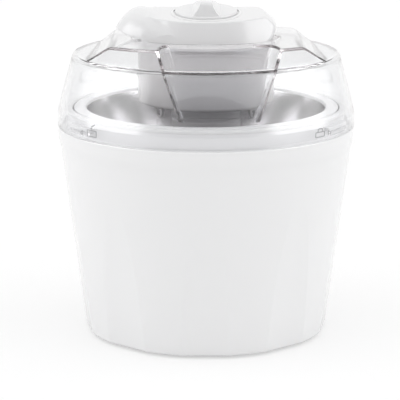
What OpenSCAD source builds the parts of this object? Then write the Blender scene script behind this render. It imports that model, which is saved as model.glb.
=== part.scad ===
/* [Casing] */
// Outer radius of the casing at the lid seam
casing_top_r = 115; // [112:1:120]
// Outer radius of the casing at the base
casing_base_r = 95; // [92:1:98]
// Height of the lid seam above the table
seam_z = 163; // [158:1:168]
// Wall thickness of the casing
casing_wall = 2.6; // [2:0.1:3]
// Number of arched flats round the casing
arch_count = 9; // [6:1:9]
// Depth of an arched flat at its foot
arch_depth = 1.8; // [1.2:0.1:2]
// Height of the point of an arched flat
arch_top_z = 119; // [100:1:130]
// Height of the rubber feet that shows
foot_h = 2; // [1.5:0.5:3]

/* [Bowl] */
// Width of the plastic rim round the bowl's mouth
rim_w = 9.7; // [9:0.1:12]
// Thickness of the cooling gel beside the bowl's floor
gel_side = 6; // [4:0.5:8]
// Depth of the cooling gel under the bowl's floor
gel_floor = 42.6; // [38:0.2:46]

/* [Lid] */
// Height of the lid from the seam to its shoulder
lid_h = 56; // [54:0.5:58]
// Step in from the shoulder to the crown wall
crown_step = 3.3; // [2.5:0.1:5]
// Height of the front edge of the crown above the shoulder
crown_h = 14.4; // [13:0.2:16]
// Half width of the flat top of the crown
crown_half_w = 71.5; // [68:0.5:74]
// Wall thickness of the lid
lid_wall = 2.4; // [2:0.1:2.8]
// Width of the chute at the top
chute_w = 85; // [76:1:86]
// Sideways offset of the chute
chute_x = 9.5; // [6:0.5:10]

/* [Motor unit] */
// Radius of the motor housing
housing_r = 52.7; // [52:0.1:53]
// Height of the motor housing below its cover
housing_h = 48.3; // [47:0.1:50]
// Radius of the shaft nose under the housing
nose_r = 27; // [24:1:28]
// Height of the cover from its seat to its highest part
cover_h = 22.2; // [21:0.1:23]
// Radius of the dial
dial_r = 27; // [24:0.5:28]

/* [Gears] */
// Teeth on each small gear
small_teeth = 12; // [12:1:12]
// Teeth on the gear of the paddle shaft
output_teeth = 48; // [44:1:48]
// Teeth on the large gears
large_teeth = 45; // [42:1:45]

/* [Hidden] */
$fn = 72;
small_fn = 24;
big = 400;
cut_len = 20;

// Casing
flare_h = 19;
bead_h = 7;
flare_w = 2.5;
bead_w = 0.3;
taper_z = seam_z - flare_h;
flare_z = seam_z - bead_h;
taper_r = casing_top_r - flare_w;
flare_r = casing_top_r - bead_w;
taper = (taper_r - casing_base_r) / (taper_z - foot_h);
ledge_t = 2.6;
neck_step = 7;
neck_r = casing_top_r - neck_step;
neck_wall = 2.6;
neck_h = 12;
neck_z = seam_z + neck_h;
ledge_up = 3.5;
base_ledge_z = foot_h + ledge_up;
base_ledge_h = 2.5;
base_ledge_w = 5;
bottom_round = 1.6;
arch_half_w = 30;
arch_steps = 5;
hook_count = 3;
hook_arc = 16;
hook_up = 6.2;
hook_z = seam_z + hook_up;
hook_h = 2.4;
hook_out = 3.6;
hook_az = 92;

// Base
base_gap = 0.3;
plate_t = 3;
plate_z = base_ledge_z - plate_t;
foot_count = 4;
foot_r = 8;
foot_ring_r = 72;
foot_sink = 1.2;
foot_peg_r = 2.5;
foot_peg_h = 1.5;
foot_round = 0.6;
screw_ring_r = 58;
screw_r = 2;
screw_head_r = 3.8;
screw_head_h = 1.6;
screw_len = 10;
screw_fit = 0.05;

// Liner
liner_wall = 2;
liner_gap = 0.2;
liner_floor_up = 12;
liner_floor_z = foot_h + liner_floor_up;
liner_floor_t = 2;
liner_in = 7;
liner_base_r = casing_base_r - liner_in;
liner_round = 3;
liner_top_drop = 14;
liner_flange_t = 2.2;
liner_flange_r = neck_r;
liner_inner_r = neck_r - neck_wall - liner_gap - liner_wall;
liner_rim_z = neck_z + liner_flange_t;
liner_boss_r = 5;

// Bowl
bowl_gap = 1.2;
shell_gap = 2.2;
shell_wall = 2;
shell_round = 4;
shell_bottom_z = liner_floor_z + liner_floor_t;
ring_h = 7;
ring_up = 0.4;
ring_wall = 1.6;
ring_cover_t = 2.4;
ring_top_z = liner_rim_z + ring_up;
ring_z = ring_top_z - ring_h;
ring_r = liner_inner_r - bowl_gap;
shell_neck_z = ring_z - shell_wall;
shell_top_r = ring_r - ring_wall;
shell_base_r = liner_base_r - liner_wall - shell_gap;
metal_t = 1.4;
metal_corner = 10;
metal_top_z = ring_top_z - ring_cover_t;
bowl_mouth_r = ring_r - rim_w;
bowl_floor_z = shell_bottom_z + shell_wall + gel_floor + metal_t;
bowl_floor_r = shell_r(bowl_floor_z) - shell_wall - gel_side - metal_t;

// Lid
lid_gap = 0.3;
skirt_h = 11.5;
lid_taper = 11.2;
lid_z = seam_z + lid_gap;
skirt_z = seam_z + skirt_h;
lid_top_r = casing_top_r - lid_taper;
corner_drop = 3;
shoulder_z = seam_z + lid_h;
crown_z = shoulder_z + crown_h;
crown_r = lid_top_r - crown_step;
crown_foot = 12;
crown_tilt = 0.045;
crown_slope = 0.734;
crown_ref_y = -sqrt(crown_r * crown_r - crown_half_w * crown_half_w);
lug_arc = 14;
lug_up = 3.2;
lug_z = seam_z + lug_up;
lug_h = 2.6;
lug_in = 3.4;
lug_root = 0.8;
cover_sink = 4.1;
cover_z = crown_z - cover_sink;
flange_t = 2;
hole_gap = 0.5;
recess_step = 3.1;
recess_h = 12;
recess_r = housing_r + recess_step;
recess_z = cover_z - flange_t;
hole_r = housing_r + hole_gap;
chute_wall = 2;
chute_lean = 0.28;
chute_up = 9;
chute_low = 42;
chute_in = 0.8;
chute_mid_z = shoulder_z + chute_up;
chute_bottom_z = shoulder_z - chute_low;
chute_front_y = chute_in - crown_r;
chute_front_lean = 0.68;
chute_back_y = -recess_r;
chute_bow_r = crown_r - chute_in;
chute_low_bow_r = chute_bow_r - chute_low * chute_lean;

// Motor unit
housing_wall = 2.2;
flange_gap = 0.3;
flange_r = recess_r - flange_gap;
nose_h = 28;
housing_z = cover_z - housing_h;
nose_z = housing_z - nose_h;
nose_wall = 2.5;
nose_groove = 0.7;
cover_wall = 2.2;
cover_top_z = cover_z + cover_h;
cover_bulge = 1.3;
cover_mid_h = 10.7;
cover_base_r = housing_r - cover_bulge;
cover_mid_r = housing_r + cover_bulge;
cover_mid_z = cover_z + cover_mid_h;
cover_edge_r = housing_r - 7.1;
cover_edge_z = cover_top_z - 0.5;
front_c_y = 36;
front_base_r = 74;
front_top_r = 69;
front_h = cover_h + 2;
top_tilt = 0.104;
top_drop = 1.6;
top_ref_z = cover_top_z - top_drop;
ridge_y = 15;
back_fall = 0.2;
beak_out = 17.9;
beak_tip_x = -housing_r - beak_out;
beak_tip_z = cover_z + 8.7;
beak_tip_t = 1.8;
beak_lip = 9.5;
beak_x = 2.2 - housing_r;
beak_up = 2;
beak_top_z = cover_top_z + beak_up;
beak_r = 12;
beak_foot_x = 2.7 - housing_r;
beak_depth = 18;
beak_span = 90;
beak_gap = 0.6;
beak_leaf_x = -30;
beak_leaf_y = 14.8;
beak_leaf_r = 44.5;
dial_y = -5;
dial_tilt = 5.9;
dial_z = top_ref_z + top_tilt * dial_y;
dial_t = 1.6;
dial_sink = 0.8;

// Motor and gears
gear_floor = housing_z + housing_wall;
gear_t = 5;
gear_gap = 1;
mod_3 = housing_r * 0.019;
mod_2 = housing_r * 0.0152;
mod_1 = housing_r * 0.0133;
mesh_gap = 0.15;
dist_3 = mod_3 * (small_teeth + output_teeth) / 2 + mesh_gap;
dist_2 = mod_2 * (small_teeth + large_teeth) / 2 + mesh_gap;
dist_1 = mod_1 * (small_teeth + large_teeth) / 2 + mesh_gap;
second_dir = 240;
first_dir = 130;
motor_dir = 70;
second_pos = polar(dist_3, second_dir);
first_pos = second_pos + polar(dist_2, first_dir);
motor_pos = first_pos + polar(dist_1, motor_dir);
tier_1 = gear_floor + 2;
tier_2 = tier_1 + gear_t + gear_gap;
tier_3 = tier_2 + gear_t + gear_gap;
second_turn = mesh_turn(second_dir, 0, output_teeth, small_teeth);
first_turn = mesh_turn(first_dir, second_turn, large_teeth, small_teeth);
pinion_turn = mesh_turn(motor_dir, first_turn, large_teeth, small_teeth);
plate2_z = tier_3 + gear_t + gear_gap;
plate2_t = 3;
pin_r = 1.5;
post_bore = 1.25;
pin_fit = 0.05;
shaft_r = 5;
shaft_fit = 0.05;
flat_depth = 1;
flat_h = 19;
shaft_drop = 24;
shaft_bottom_z = nose_z - shaft_drop;
motor_r = housing_r * 0.294;
boss_r = 5.5;
motor_len = 26;
motor_wall = 1.5;
cap_t = 2.5;
cap_plug = 3;
tag_w = 3;
tag_t = 0.8;
tag_h = 4;
rotor_r = 1.6;
armature_r = 9;
armature_h = 16;
post_r = 3.6;
post_ring_r = housing_r - 7.2;
post_az = [25, 112, 290];
cover_post_az = [75, 150, 345];
cover_post_r = 4.4;
cover_post_ring = cover_edge_r;
cover_screw_r = 1.5;
cover_screw_z = cover_z - 15.3;
cover_screw_len = 22;
plate_screw_r = 1.25;
plate_screw_head_r = 2.6;
plate_screw_head_h = 1.4;
plate_screw_len = 10;
motor_screw_r = 1.2;
motor_screw_ring = motor_r - 5.5;
plate_r = housing_r - housing_wall - 1.7;
switch_r = 9.5;
switch_len = 14;
switch_top = -2.4;
spindle_r = 3;
dial_screw_x = 7.2;
dial_screw_hole = 1.3;
knob_gap = 0.3;
knob_edge = 3;
knob_r = dial_r - knob_edge;
knob_skirt = 1.4;
knob_bore = 4;
knob_z = dial_t - dial_sink + knob_gap;
fin_foot = 12.2;
fin_top = 5;
fin_h = 12.4;
fin_curl = 1.75;
fin_round = 0.9;
fin_steps = 6;
gland_r = 4;
gland_bore = 2.4;
gland_z = cover_z + 8.7;
catch_az = [222, 318];
catch_ring = housing_r - 5.1;
catch_drop = 7.8;
catch_bar = 1.5;
catch_r = 3.8;
catch_hole = 2;
catch_t = 2;

// Paddle
hub_r = 13;
hub_top_z = nose_z - 1.5;
hub_low_z = hub_top_z - 28;
paddle_t = 4;
paddle_gap = 5;
paddle_h = 75.5;
paddle_low_z = bowl_floor_z + 2.5;
paddle_top_z = paddle_low_z + paddle_h;
paddle_bar = 10;
wiper_in = 14;
wiper_w = 16;
wiper_t = 3;
wiper_turn = 35;

function polar(r, a) = [r * cos(a), r * sin(a)];
function mesh_turn(dir, turn, na, nb) = dir + 180 - 360 / nb * (0.5 - (dir - turn) * na / 360);
function shell_r(z) = shell_base_r + (shell_top_r - shell_base_r) * (z - shell_bottom_z - shell_round)
  / (shell_neck_z - shell_bottom_z - shell_round);
function fin_w(h) = fin_top + (fin_foot - fin_top) * pow(1 - h / fin_h, fin_curl);
function casing_r(z) = casing_base_r + taper * (z - foot_h);
function metal_r(z) = bowl_floor_r + (bowl_mouth_r - bowl_floor_r) * (z - bowl_floor_z)
  / (metal_top_z - bowl_floor_z);
function arch_z(t) = foot_h + t * (arch_top_z - foot_h);
function arch_r(t) = casing_r(arch_z(t)) - arch_depth * (1 - 0.3 * t - 0.7 * t * t);
function fin_side(i) = [fin_w(fin_h * i / fin_steps), fin_h * i / fin_steps];

// A slice of a ring between two angles
module sector(r1, r2, h, a) {
  rotate([0, 0, -a / 2])
    rotate_extrude(angle = a)
      translate([r1, 0])
        square([r2 - r1, h]);
}

// Plain trapezoidal teeth on a round blank
module gear_shape(teeth, mod) {
  root = mod * teeth / 2 - mod * 1.1;
  tip = mod * teeth / 2 + mod * 0.8;
  step = 360 / teeth;
  polygon([
    for (i = [0 : teeth - 1])
      for (p = [[root, -0.32], [tip, -0.13], [tip, 0.13], [root, 0.32]])
        polar(p[0], step * (i + p[1]))
  ]);
}

// Upright flat cut that runs out in a point near the top
module arch_cutter() {
  rotate([90, 0, 90])
    linear_extrude(height = 2 * arch_half_w, center = true)
      polygon(concat(
        [[-big, -1], [-casing_base_r + arch_depth + 0.2, -1]],
        [for (i = [0 : arch_steps]) [-arch_r(i / arch_steps), arch_z(i / arch_steps)]],
        [[-big, arch_top_z]]
      ));
}

module casing_outer() {
  rotate_extrude()
    polygon([
      [0, foot_h],
      [casing_base_r - bottom_round, foot_h],
      [casing_base_r, foot_h + bottom_round],
      [taper_r, taper_z],
      [flare_r - 0.7, (taper_z + flare_z) / 2],
      [flare_r, flare_z],
      [casing_top_r, seam_z],
      [0, seam_z]
    ]);
}

module casing_inner() {
  rotate_extrude()
    polygon([
      [0, base_ledge_z + base_ledge_h],
      [casing_r(base_ledge_z) - base_ledge_w, base_ledge_z + base_ledge_h],
      [casing_r(base_ledge_z) - casing_wall - arch_depth, base_ledge_z + base_ledge_h + 1],
      [taper_r - casing_wall, taper_z],
      [flare_r - casing_wall, flare_z],
      [flare_r - casing_wall, seam_z - ledge_t],
      [neck_r - neck_wall, seam_z - ledge_t],
      [neck_r - neck_wall, neck_z + 1],
      [0, neck_z + 1]
    ]);
}

module outer_casing() {
  color("white")
    difference() {
      union() {
        difference() {
          casing_outer();
          for (i = [0 : arch_count - 1])
            rotate([0, 0, i * 360 / arch_count])
              arch_cutter();
        }
        translate([0, 0, seam_z - 1])
          cylinder(r = neck_r, h = neck_z - seam_z + 1);
        for (i = [0 : hook_count - 1])
          rotate([0, 0, hook_az + i * 360 / hook_count])
            translate([0, 0, hook_z])
              sector(neck_r - 1, neck_r + hook_out, hook_h, hook_arc);
      }
      casing_inner();
      translate([0, 0, -1])
        cylinder(r = casing_r(base_ledge_z) - base_ledge_w, h = cut_len);
      translate([0, 0, -1])
        cylinder(r = casing_base_r - casing_wall - arch_depth + 0.6, h = base_ledge_z + 1);
    }
}

module at_screws() {
  for (i = [0 : foot_count - 1])
    rotate([0, 0, 45 + i * 360 / foot_count])
      translate([screw_ring_r, 0, 0])
        children();
}

module at_feet() {
  for (i = [0 : foot_count - 1])
    rotate([0, 0, 45 + i * 360 / foot_count])
      translate([foot_ring_r, 0, 0])
        children();
}

module casing_liner() {
  color("gainsboro")
    difference() {
      union() {
        rotate_extrude()
          polygon([
            [0, liner_floor_z],
            [liner_base_r - liner_round, liner_floor_z],
            [liner_base_r, liner_floor_z + liner_round],
            [liner_inner_r + liner_wall, seam_z - liner_top_drop],
            [liner_inner_r + liner_wall, neck_z],
            [liner_flange_r, neck_z],
            [liner_flange_r, liner_rim_z - 0.8],
            [liner_flange_r - 0.8, liner_rim_z],
            [liner_inner_r + 0.6, liner_rim_z],
            [liner_inner_r, liner_rim_z - 0.6],
            [liner_inner_r, seam_z - liner_top_drop],
            [liner_base_r - liner_wall, shell_bottom_z],
            [0, shell_bottom_z]
          ]);
        at_screws()
          translate([0, 0, base_ledge_z])
            cylinder(r = liner_boss_r, h = liner_floor_z - base_ledge_z + 0.5, $fn = small_fn);
      }
      at_screws()
        translate([0, 0, base_ledge_z - 1])
          cylinder(r = screw_r + screw_fit, h = screw_len - screw_head_h + 0.3, $fn = small_fn);
    }
}

module base_plate() {
  color("whitesmoke")
    difference() {
      translate([0, 0, plate_z])
        cylinder(r = casing_base_r - casing_wall - arch_depth + 0.6 - base_gap, h = plate_t);
      at_screws()
        translate([0, 0, plate_z - 1])
          cylinder(r = screw_r + 0.3, h = plate_t + 2, $fn = small_fn);
      at_screws()
        translate([0, 0, plate_z - 1])
          cylinder(r = screw_head_r + 0.4, h = screw_head_h + 1, $fn = small_fn);
      at_feet()
        translate([0, 0, plate_z - 1])
          cylinder(r = foot_r + 0.1, h = foot_sink + 1, $fn = small_fn);
      at_feet()
        translate([0, 0, plate_z - 1])
          cylinder(r = foot_peg_r + 0.05, h = plate_t + 2, $fn = small_fn);
    }
}

module rubber_feet() {
  color("dimgray")
    at_feet() {
      rotate_extrude($fn = small_fn)
        polygon([
          [0, 0],
          [foot_r - foot_round, 0],
          [foot_r, foot_round],
          [foot_r, plate_z + foot_sink],
          [foot_peg_r, plate_z + foot_sink],
          [foot_peg_r, plate_z + plate_t + foot_peg_h],
          [0, plate_z + plate_t + foot_peg_h]
        ]);
    }
}

// Pan head screw, head down, shank up, with a cross slot
module screw_up(r, head_r, head_h, len) {
  difference() {
    rotate_extrude($fn = small_fn)
      polygon([
        [0, 0],
        [head_r - 0.6, 0],
        [head_r, 0.6],
        [head_r, head_h],
        [r, head_h],
        [r, len - 0.8],
        [r - 0.8, len],
        [0, len]
      ]);
    for (a = [0, 90])
      rotate([0, 0, a])
        translate([-head_r * 0.6, -0.35, -1])
          cube([head_r * 1.2, 0.7, 1 + head_h * 0.55]);
  }
}

module base_screws() {
  color("silver")
    at_screws()
      translate([0, 0, plate_z])
        screw_up(screw_r, screw_head_r, screw_head_h, screw_len);
}

module bowl_shell() {
  color("whitesmoke")
    rotate_extrude()
      polygon([
        [0, shell_bottom_z],
        [shell_base_r - shell_round, shell_bottom_z],
        [shell_base_r, shell_bottom_z + shell_round],
        [shell_top_r, shell_neck_z],
        [shell_top_r, metal_top_z],
        [shell_top_r - shell_wall, metal_top_z],
        [shell_top_r - shell_wall, shell_neck_z],
        [shell_base_r - shell_wall, shell_bottom_z + shell_round + 1],
        [shell_base_r - shell_wall - shell_round + 1, shell_bottom_z + shell_wall],
        [0, shell_bottom_z + shell_wall]
      ]);
}

module bowl_liner() {
  color("silver")
    rotate_extrude()
      polygon([
        [0, bowl_floor_z - metal_t],
        [bowl_floor_r - metal_corner * 0.75, bowl_floor_z - metal_t],
        [bowl_floor_r - metal_corner * 0.2, bowl_floor_z + metal_corner * 0.2 - 0.6],
        [metal_r(bowl_floor_z + metal_corner) + metal_t, bowl_floor_z + metal_corner],
        [bowl_mouth_r + metal_t, metal_top_z],
        [bowl_mouth_r, metal_top_z],
        [metal_r(bowl_floor_z + metal_corner), bowl_floor_z + metal_corner],
        [bowl_floor_r - metal_corner * 0.2 - metal_t * 0.8, bowl_floor_z + metal_corner * 0.2 + 0.4],
        [bowl_floor_r - metal_corner * 0.8, bowl_floor_z],
        [0, bowl_floor_z]
      ]);
}

module cooling_gel() {
  color("lightblue")
    rotate_extrude()
      polygon([
        [0, shell_bottom_z + shell_wall],
        [shell_base_r - shell_wall - shell_round + 1, shell_bottom_z + shell_wall],
        [shell_base_r - shell_wall, shell_bottom_z + shell_round + 1],
        [shell_top_r - shell_wall, shell_neck_z],
        [metal_r(shell_neck_z) + metal_t, shell_neck_z],
        [metal_r(bowl_floor_z + metal_corner) + metal_t, bowl_floor_z + metal_corner],
        [bowl_floor_r - metal_corner * 0.2, bowl_floor_z + metal_corner * 0.2 - 0.6],
        [bowl_floor_r - metal_corner * 0.75, bowl_floor_z - metal_t],
        [0, bowl_floor_z - metal_t]
      ]);
}

module bowl_rim_ring() {
  color("white")
    rotate_extrude()
      polygon([
        [bowl_mouth_r, metal_top_z],
        [bowl_mouth_r + 0.9, ring_top_z - 0.7],
        [bowl_mouth_r + 2.6, ring_top_z],
        [ring_r - 1.4, ring_top_z],
        [ring_r - 0.3, ring_top_z - 0.5],
        [ring_r, ring_top_z - 1.6],
        [ring_r, ring_z],
        [shell_top_r, ring_z],
        [shell_top_r, metal_top_z]
      ]);
}

// Outside of the lid skirt and shoulder, drawn in by the given wall
module lid_cone(t) {
  rotate_extrude()
    polygon([
      [0, lid_z - (t > 0 ? 1 : 0)],
      [casing_top_r - t, lid_z - (t > 0 ? 1 : 0)],
      [casing_top_r - t, skirt_z],
      [lid_top_r - t, shoulder_z - corner_drop],
      [lid_top_r - t - 0.9, shoulder_z - t * 0.8 - 1],
      [crown_r - t - 0.8, shoulder_z - t],
      [0, shoulder_z - t]
    ]);
}

// Crown with a flat top, leaning sides and an upright round front
module crown(t) {
  drop = crown_z - shoulder_z + 2 * crown_foot;
  intersection() {
    translate([0, 0, shoulder_z - crown_foot])
      cylinder(r = crown_r - t, h = big);
    translate([0, crown_ref_y, crown_z - t])
      rotate([90 - atan(crown_tilt), 0, 0])
        linear_extrude(height = big, center = true)
          polygon([
            [-crown_half_w - drop / crown_slope + t * 0.69, -drop],
            [crown_half_w + drop / crown_slope - t * 0.69, -drop],
            [crown_half_w - t * 0.33, 0],
            [-crown_half_w + t * 0.33, 0]
          ]);
  }
}

// Four sided funnel, grown or drawn in by the given distance. Its front wall is
// flat at the foot and bows out with the crown at the top.
module chute_block(t, z1, z2) {
  intersection() {
    translate([chute_x, 0, 0])
      rotate([90, 0, 0])
        linear_extrude(height = big, center = true)
          polygon([
            [-chute_w / 2 - t - (z1 - chute_mid_z) * chute_lean, z1],
            [chute_w / 2 + t + (z1 - chute_mid_z) * chute_lean, z1],
            [chute_w / 2 + t + (z2 - chute_mid_z) * chute_lean, z2],
            [-chute_w / 2 - t - (z2 - chute_mid_z) * chute_lean, z2]
          ]);
    rotate([90, 0, 90])
      linear_extrude(height = big, center = true)
        polygon([
          [chute_front_y - t - (z1 - shoulder_z) * chute_front_lean, z1],
          [chute_back_y + t, z1],
          [chute_back_y + t, z2],
          [chute_front_y - t - (z2 - shoulder_z) * chute_front_lean, z2]
        ]);
    rotate_extrude()
      polygon([
        [0, z1],
        [chute_low_bow_r + t + (z1 - chute_bottom_z) * chute_lean, z1],
        [chute_bow_r + t, shoulder_z],
        [chute_bow_r + t + (z2 - shoulder_z) * chute_front_lean, z2],
        [0, z2]
      ]);
  }
}

module lid() {
  color("aliceblue", 0.4)
    difference() {
      union() {
        difference() {
          union() {
            lid_cone(0);
            crown(0);
          }
          lid_cone(lid_wall);
          crown(lid_wall);
        }
        intersection() {
          union() {
            chute_block(chute_wall, chute_bottom_z, crown_z);
            translate([0, 0, recess_z - lid_wall])
              cylinder(r = recess_r + lid_wall, h = recess_h);
          }
          union() {
            lid_cone(0.4);
            crown(0.4);
          }
        }
        for (i = [0 : hook_count - 1])
          rotate([0, 0, hook_az + i * 360 / hook_count])
            translate([0, 0, lug_z])
              sector(casing_top_r - lid_wall - lug_in, casing_top_r - lug_root, lug_h, lug_arc);
      }
      chute_block(0, chute_bottom_z - 1, crown_z + 8);
      translate([0, 0, recess_z])
        cylinder(r = recess_r, h = big);
      cylinder(r = hole_r, h = big);
    }
}

module at_cover_posts() {
  for (a = cover_post_az)
    rotate([0, 0, a])
      translate([cover_post_ring, 0, 0])
        children();
}

module at_plate_posts() {
  for (a = post_az)
    rotate([0, 0, a])
      translate([post_ring_r, 0, 0])
        children();
}

module at_gear_pins() {
  translate([second_pos[0], second_pos[1], 0])
    children();
  translate([first_pos[0], first_pos[1], 0])
    children();
}

module motor_housing() {
  color("white")
    difference() {
      union() {
        rotate_extrude()
          polygon([
            [0, nose_z],
            [nose_r - 1.5, nose_z],
            [nose_r, nose_z + 1.5],
            [nose_r, nose_z + 6],
            [nose_r - nose_groove, nose_z + 6.5],
            [nose_r - nose_groove, nose_z + 8.5],
            [nose_r, nose_z + 9],
            [nose_r, nose_z + 14],
            [nose_r - nose_groove, nose_z + 14.5],
            [nose_r - nose_groove, nose_z + 16.5],
            [nose_r, nose_z + 17],
            [nose_r, housing_z],
            [housing_r - 2.5, housing_z],
            [housing_r - 0.7, housing_z + 0.8],
            [housing_r, housing_z + 2.6],
            [housing_r, cover_z - flange_t],
            [flange_r, cover_z - flange_t],
            [flange_r, cover_z],
            [0, cover_z]
          ]);
      }
      difference() {
        rotate_extrude()
          polygon([
            [0, nose_z + nose_wall],
            [nose_r - nose_wall - nose_groove, nose_z + nose_wall],
            [nose_r - nose_wall - nose_groove, gear_floor],
            [housing_r - housing_wall, gear_floor],
            [housing_r - housing_wall, cover_z + 1],
            [0, cover_z + 1]
          ]);
        difference() {
          translate([0, 0, cover_z - flange_t])
            cylinder(r = housing_r, h = flange_t + 2);
          translate([0, front_c_y, cover_z - flange_t - 1])
            cylinder(r = front_base_r - cover_wall - 0.6, h = flange_t + 4);
        }
        translate([0, 0, nose_z])
          cylinder(r = shaft_r + 5, h = gear_floor - nose_z - 1);
        at_gear_pins()
          translate([0, 0, gear_floor - 1])
            cylinder(r = 3.2, h = tier_1 - gear_floor + 0.6, $fn = small_fn);
        at_plate_posts()
          translate([0, 0, gear_floor - 1])
            cylinder(r = post_r, h = plate2_z - gear_floor + 1, $fn = small_fn);
        at_cover_posts()
          translate([0, 0, gear_floor - 1])
            cylinder(r = cover_post_r, h = cover_z - gear_floor + 1, $fn = small_fn);
      }
      translate([0, 0, nose_z - 1])
        cylinder(r = shaft_r + 1, h = gear_floor, $fn = 48);
      translate([0, 0, nose_z + 7])
        cylinder(r = shaft_r + 2.5, h = gear_floor, $fn = 48);
      translate([0, 0, nose_z - 1])
        cylinder(r = shaft_r + 2.5, h = 4, $fn = 48);
      at_gear_pins()
        translate([0, 0, housing_z + 0.8])
          cylinder(r = pin_r, h = cut_len, $fn = small_fn);
      at_plate_posts()
        translate([0, 0, plate2_z - 7])
          cylinder(r = post_bore, h = cut_len, $fn = small_fn);
      at_cover_posts()
        translate([0, 0, housing_z - 1])
          cylinder(r = cover_screw_r + 0.3, h = big, $fn = small_fn);
      at_cover_posts()
        translate([0, 0, housing_z - 1])
          cylinder(r = 3, h = cover_screw_z - housing_z + 3, $fn = small_fn);
    }
}

// Dome of the cover, drawn in by the given wall
module cover_dome(t) {
  intersection() {
    rotate_extrude()
      polygon([
        [0, cover_z - (t > 0 ? 1 : 0)],
        [cover_base_r - t, cover_z - (t > 0 ? 1 : 0)],
        [cover_mid_r - t, cover_mid_z - 4],
        [cover_mid_r - t, cover_mid_z],
        [cover_edge_r + 4.4 - t, cover_edge_z - 5],
        [cover_edge_r - t * 0.8, cover_edge_z - 1 - t * 0.6],
        [cover_edge_r - 5, cover_edge_z + 1 - t],
        [0, cover_edge_z + 2 - t]
      ]);
    translate([0, front_c_y, cover_z - 1])
      cylinder(r1 = front_base_r - t, r2 = front_top_r - t, h = front_h);
    rotate([90, 0, 90])
      linear_extrude(height = big, center = true)
        polygon([
          [-beak_span, cover_z - 2],
          [beak_span, cover_z - 2],
          [beak_span, cover_top_z - t - (beak_span - ridge_y) * back_fall],
          [ridge_y, cover_top_z - t],
          [-beak_span, cover_top_z - t - (beak_span + ridge_y) * top_tilt]
        ]);
  }
}

// Leaf shape of the grip seen from above
module beak_plan() {
  intersection() {
    translate([beak_leaf_x, beak_leaf_y, cover_z - 5])
      cylinder(r = beak_leaf_r, h = big);
    translate([beak_leaf_x, -beak_leaf_y, cover_z - 5])
      cylinder(r = beak_leaf_r, h = big);
  }
}

// Room inside the lid's recess, and all room above the top of its crown
module above_crown() {
  cylinder(r = recess_r - beak_gap, h = big);
  translate([0, crown_ref_y, crown_z + beak_gap])
    rotate([-atan(crown_tilt), 0, 0])
      translate([-big, -big, 0])
        cube([2 * big, 2 * big, big]);
}

// Thumb grip that juts out on the left of the cover
module cover_beak() {
  nose_x = beak_r * cos(138);
  nose_up = beak_r * sin(138);
  intersection() {
    union() {
      translate([beak_x, 0, beak_top_z - beak_r])
        rotate([90, 0, 0])
          cylinder(r = beak_r, h = beak_span, center = true);
      rotate([90, 0, 0])
        linear_extrude(height = beak_span, center = true)
          polygon([
            [beak_tip_x, beak_tip_z - beak_tip_t],
            [beak_tip_x + beak_lip, beak_tip_z - beak_tip_t - beak_lip / 4],
            [beak_foot_x, cover_z],
            [beak_x + beak_depth, cover_z],
            [beak_x + beak_depth, beak_top_z - beak_r],
            [beak_x, beak_top_z - beak_r],
            [beak_x + nose_x, beak_top_z - beak_r + nose_up],
            [beak_tip_x + 0.6, beak_tip_z]
          ]);
    }
    beak_plan();
    above_crown();
  }
}

module motor_cover() {
  color("white")
    difference() {
      union() {
        cover_dome(0);
        cover_beak();
      }
      difference() {
        cover_dome(cover_wall);
        at_cover_posts()
          cylinder(r = cover_post_r, h = big, $fn = small_fn);
      }
      at_cover_posts()
        cylinder(r = cover_screw_r + screw_fit, h = cover_screw_z + cover_screw_len + 0.3, $fn = small_fn);
      on_dial() {
        translate([0, 0, -dial_sink])
          cylinder(r = dial_r + 0.1, h = cut_len);
        translate([0, 0, -cut_len])
          cylinder(r = spindle_r + 0.5, h = 1.5 * cut_len, $fn = small_fn);
        for (x = [-dial_screw_x, dial_screw_x])
          translate([x, 0, -cut_len])
            cylinder(r = dial_screw_hole, h = 1.5 * cut_len, $fn = small_fn);
      }
      translate([0, cover_mid_r - 8, gland_z])
        rotate([-90, 0, 0])
          cylinder(r = gland_r + shaft_fit, h = cut_len, $fn = 32);
    }
}

module on_dial() {
  translate([0, dial_y, dial_z])
    rotate([dial_tilt, 0, 0])
      children();
}

module dial_plate() {
  color("white")
    on_dial()
      difference() {
        translate([0, 0, -dial_sink])
          rotate_extrude()
            polygon([
              [0, 0],
              [dial_r, 0],
              [dial_r, dial_t - 0.5],
              [dial_r - 0.5, dial_t],
              [dial_r - 2, dial_t],
              [dial_r - 2.4, dial_t - 0.4],
              [0, dial_t - 0.4]
            ]);
        translate([0, 0, -5])
          cylinder(r = spindle_r + 0.5, h = 10, $fn = small_fn);
        for (x = [-dial_screw_x, dial_screw_x])
          translate([x, 0, -5])
            cylinder(r = 1.3, h = 10, $fn = small_fn);
        for (x = [-dial_screw_x, dial_screw_x])
          translate([x, 0, -0.1])
            cylinder(r = 2.4, h = 10, $fn = small_fn);
      }
}

module dial_screws() {
  color("silver")
    on_dial()
      for (x = [-dial_screw_x, dial_screw_x])
        translate([x, 0, 0.9])
          rotate([180, 0, 0])
            screw_up(1.15, 2.2, 1, 8);
}

module switch_body() {
  color("dimgray")
    on_dial()
      difference() {
        union() {
          translate([0, 0, switch_top - switch_len])
            cylinder(r = switch_r, h = switch_len, $fn = 48);
          for (x = [-4, 0, 4])
            translate([x - 1, -0.4, switch_top - switch_len - 4])
              cube([2, 0.8, 5]);
        }
        translate([0, 0, switch_top - 8])
          cylinder(r = spindle_r + shaft_fit, h = 20, $fn = small_fn);
        for (x = [-dial_screw_x, dial_screw_x])
          translate([x, 0, switch_top - 6])
            cylinder(r = 1.15 + screw_fit, h = 10, $fn = small_fn);
      }
}

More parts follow.
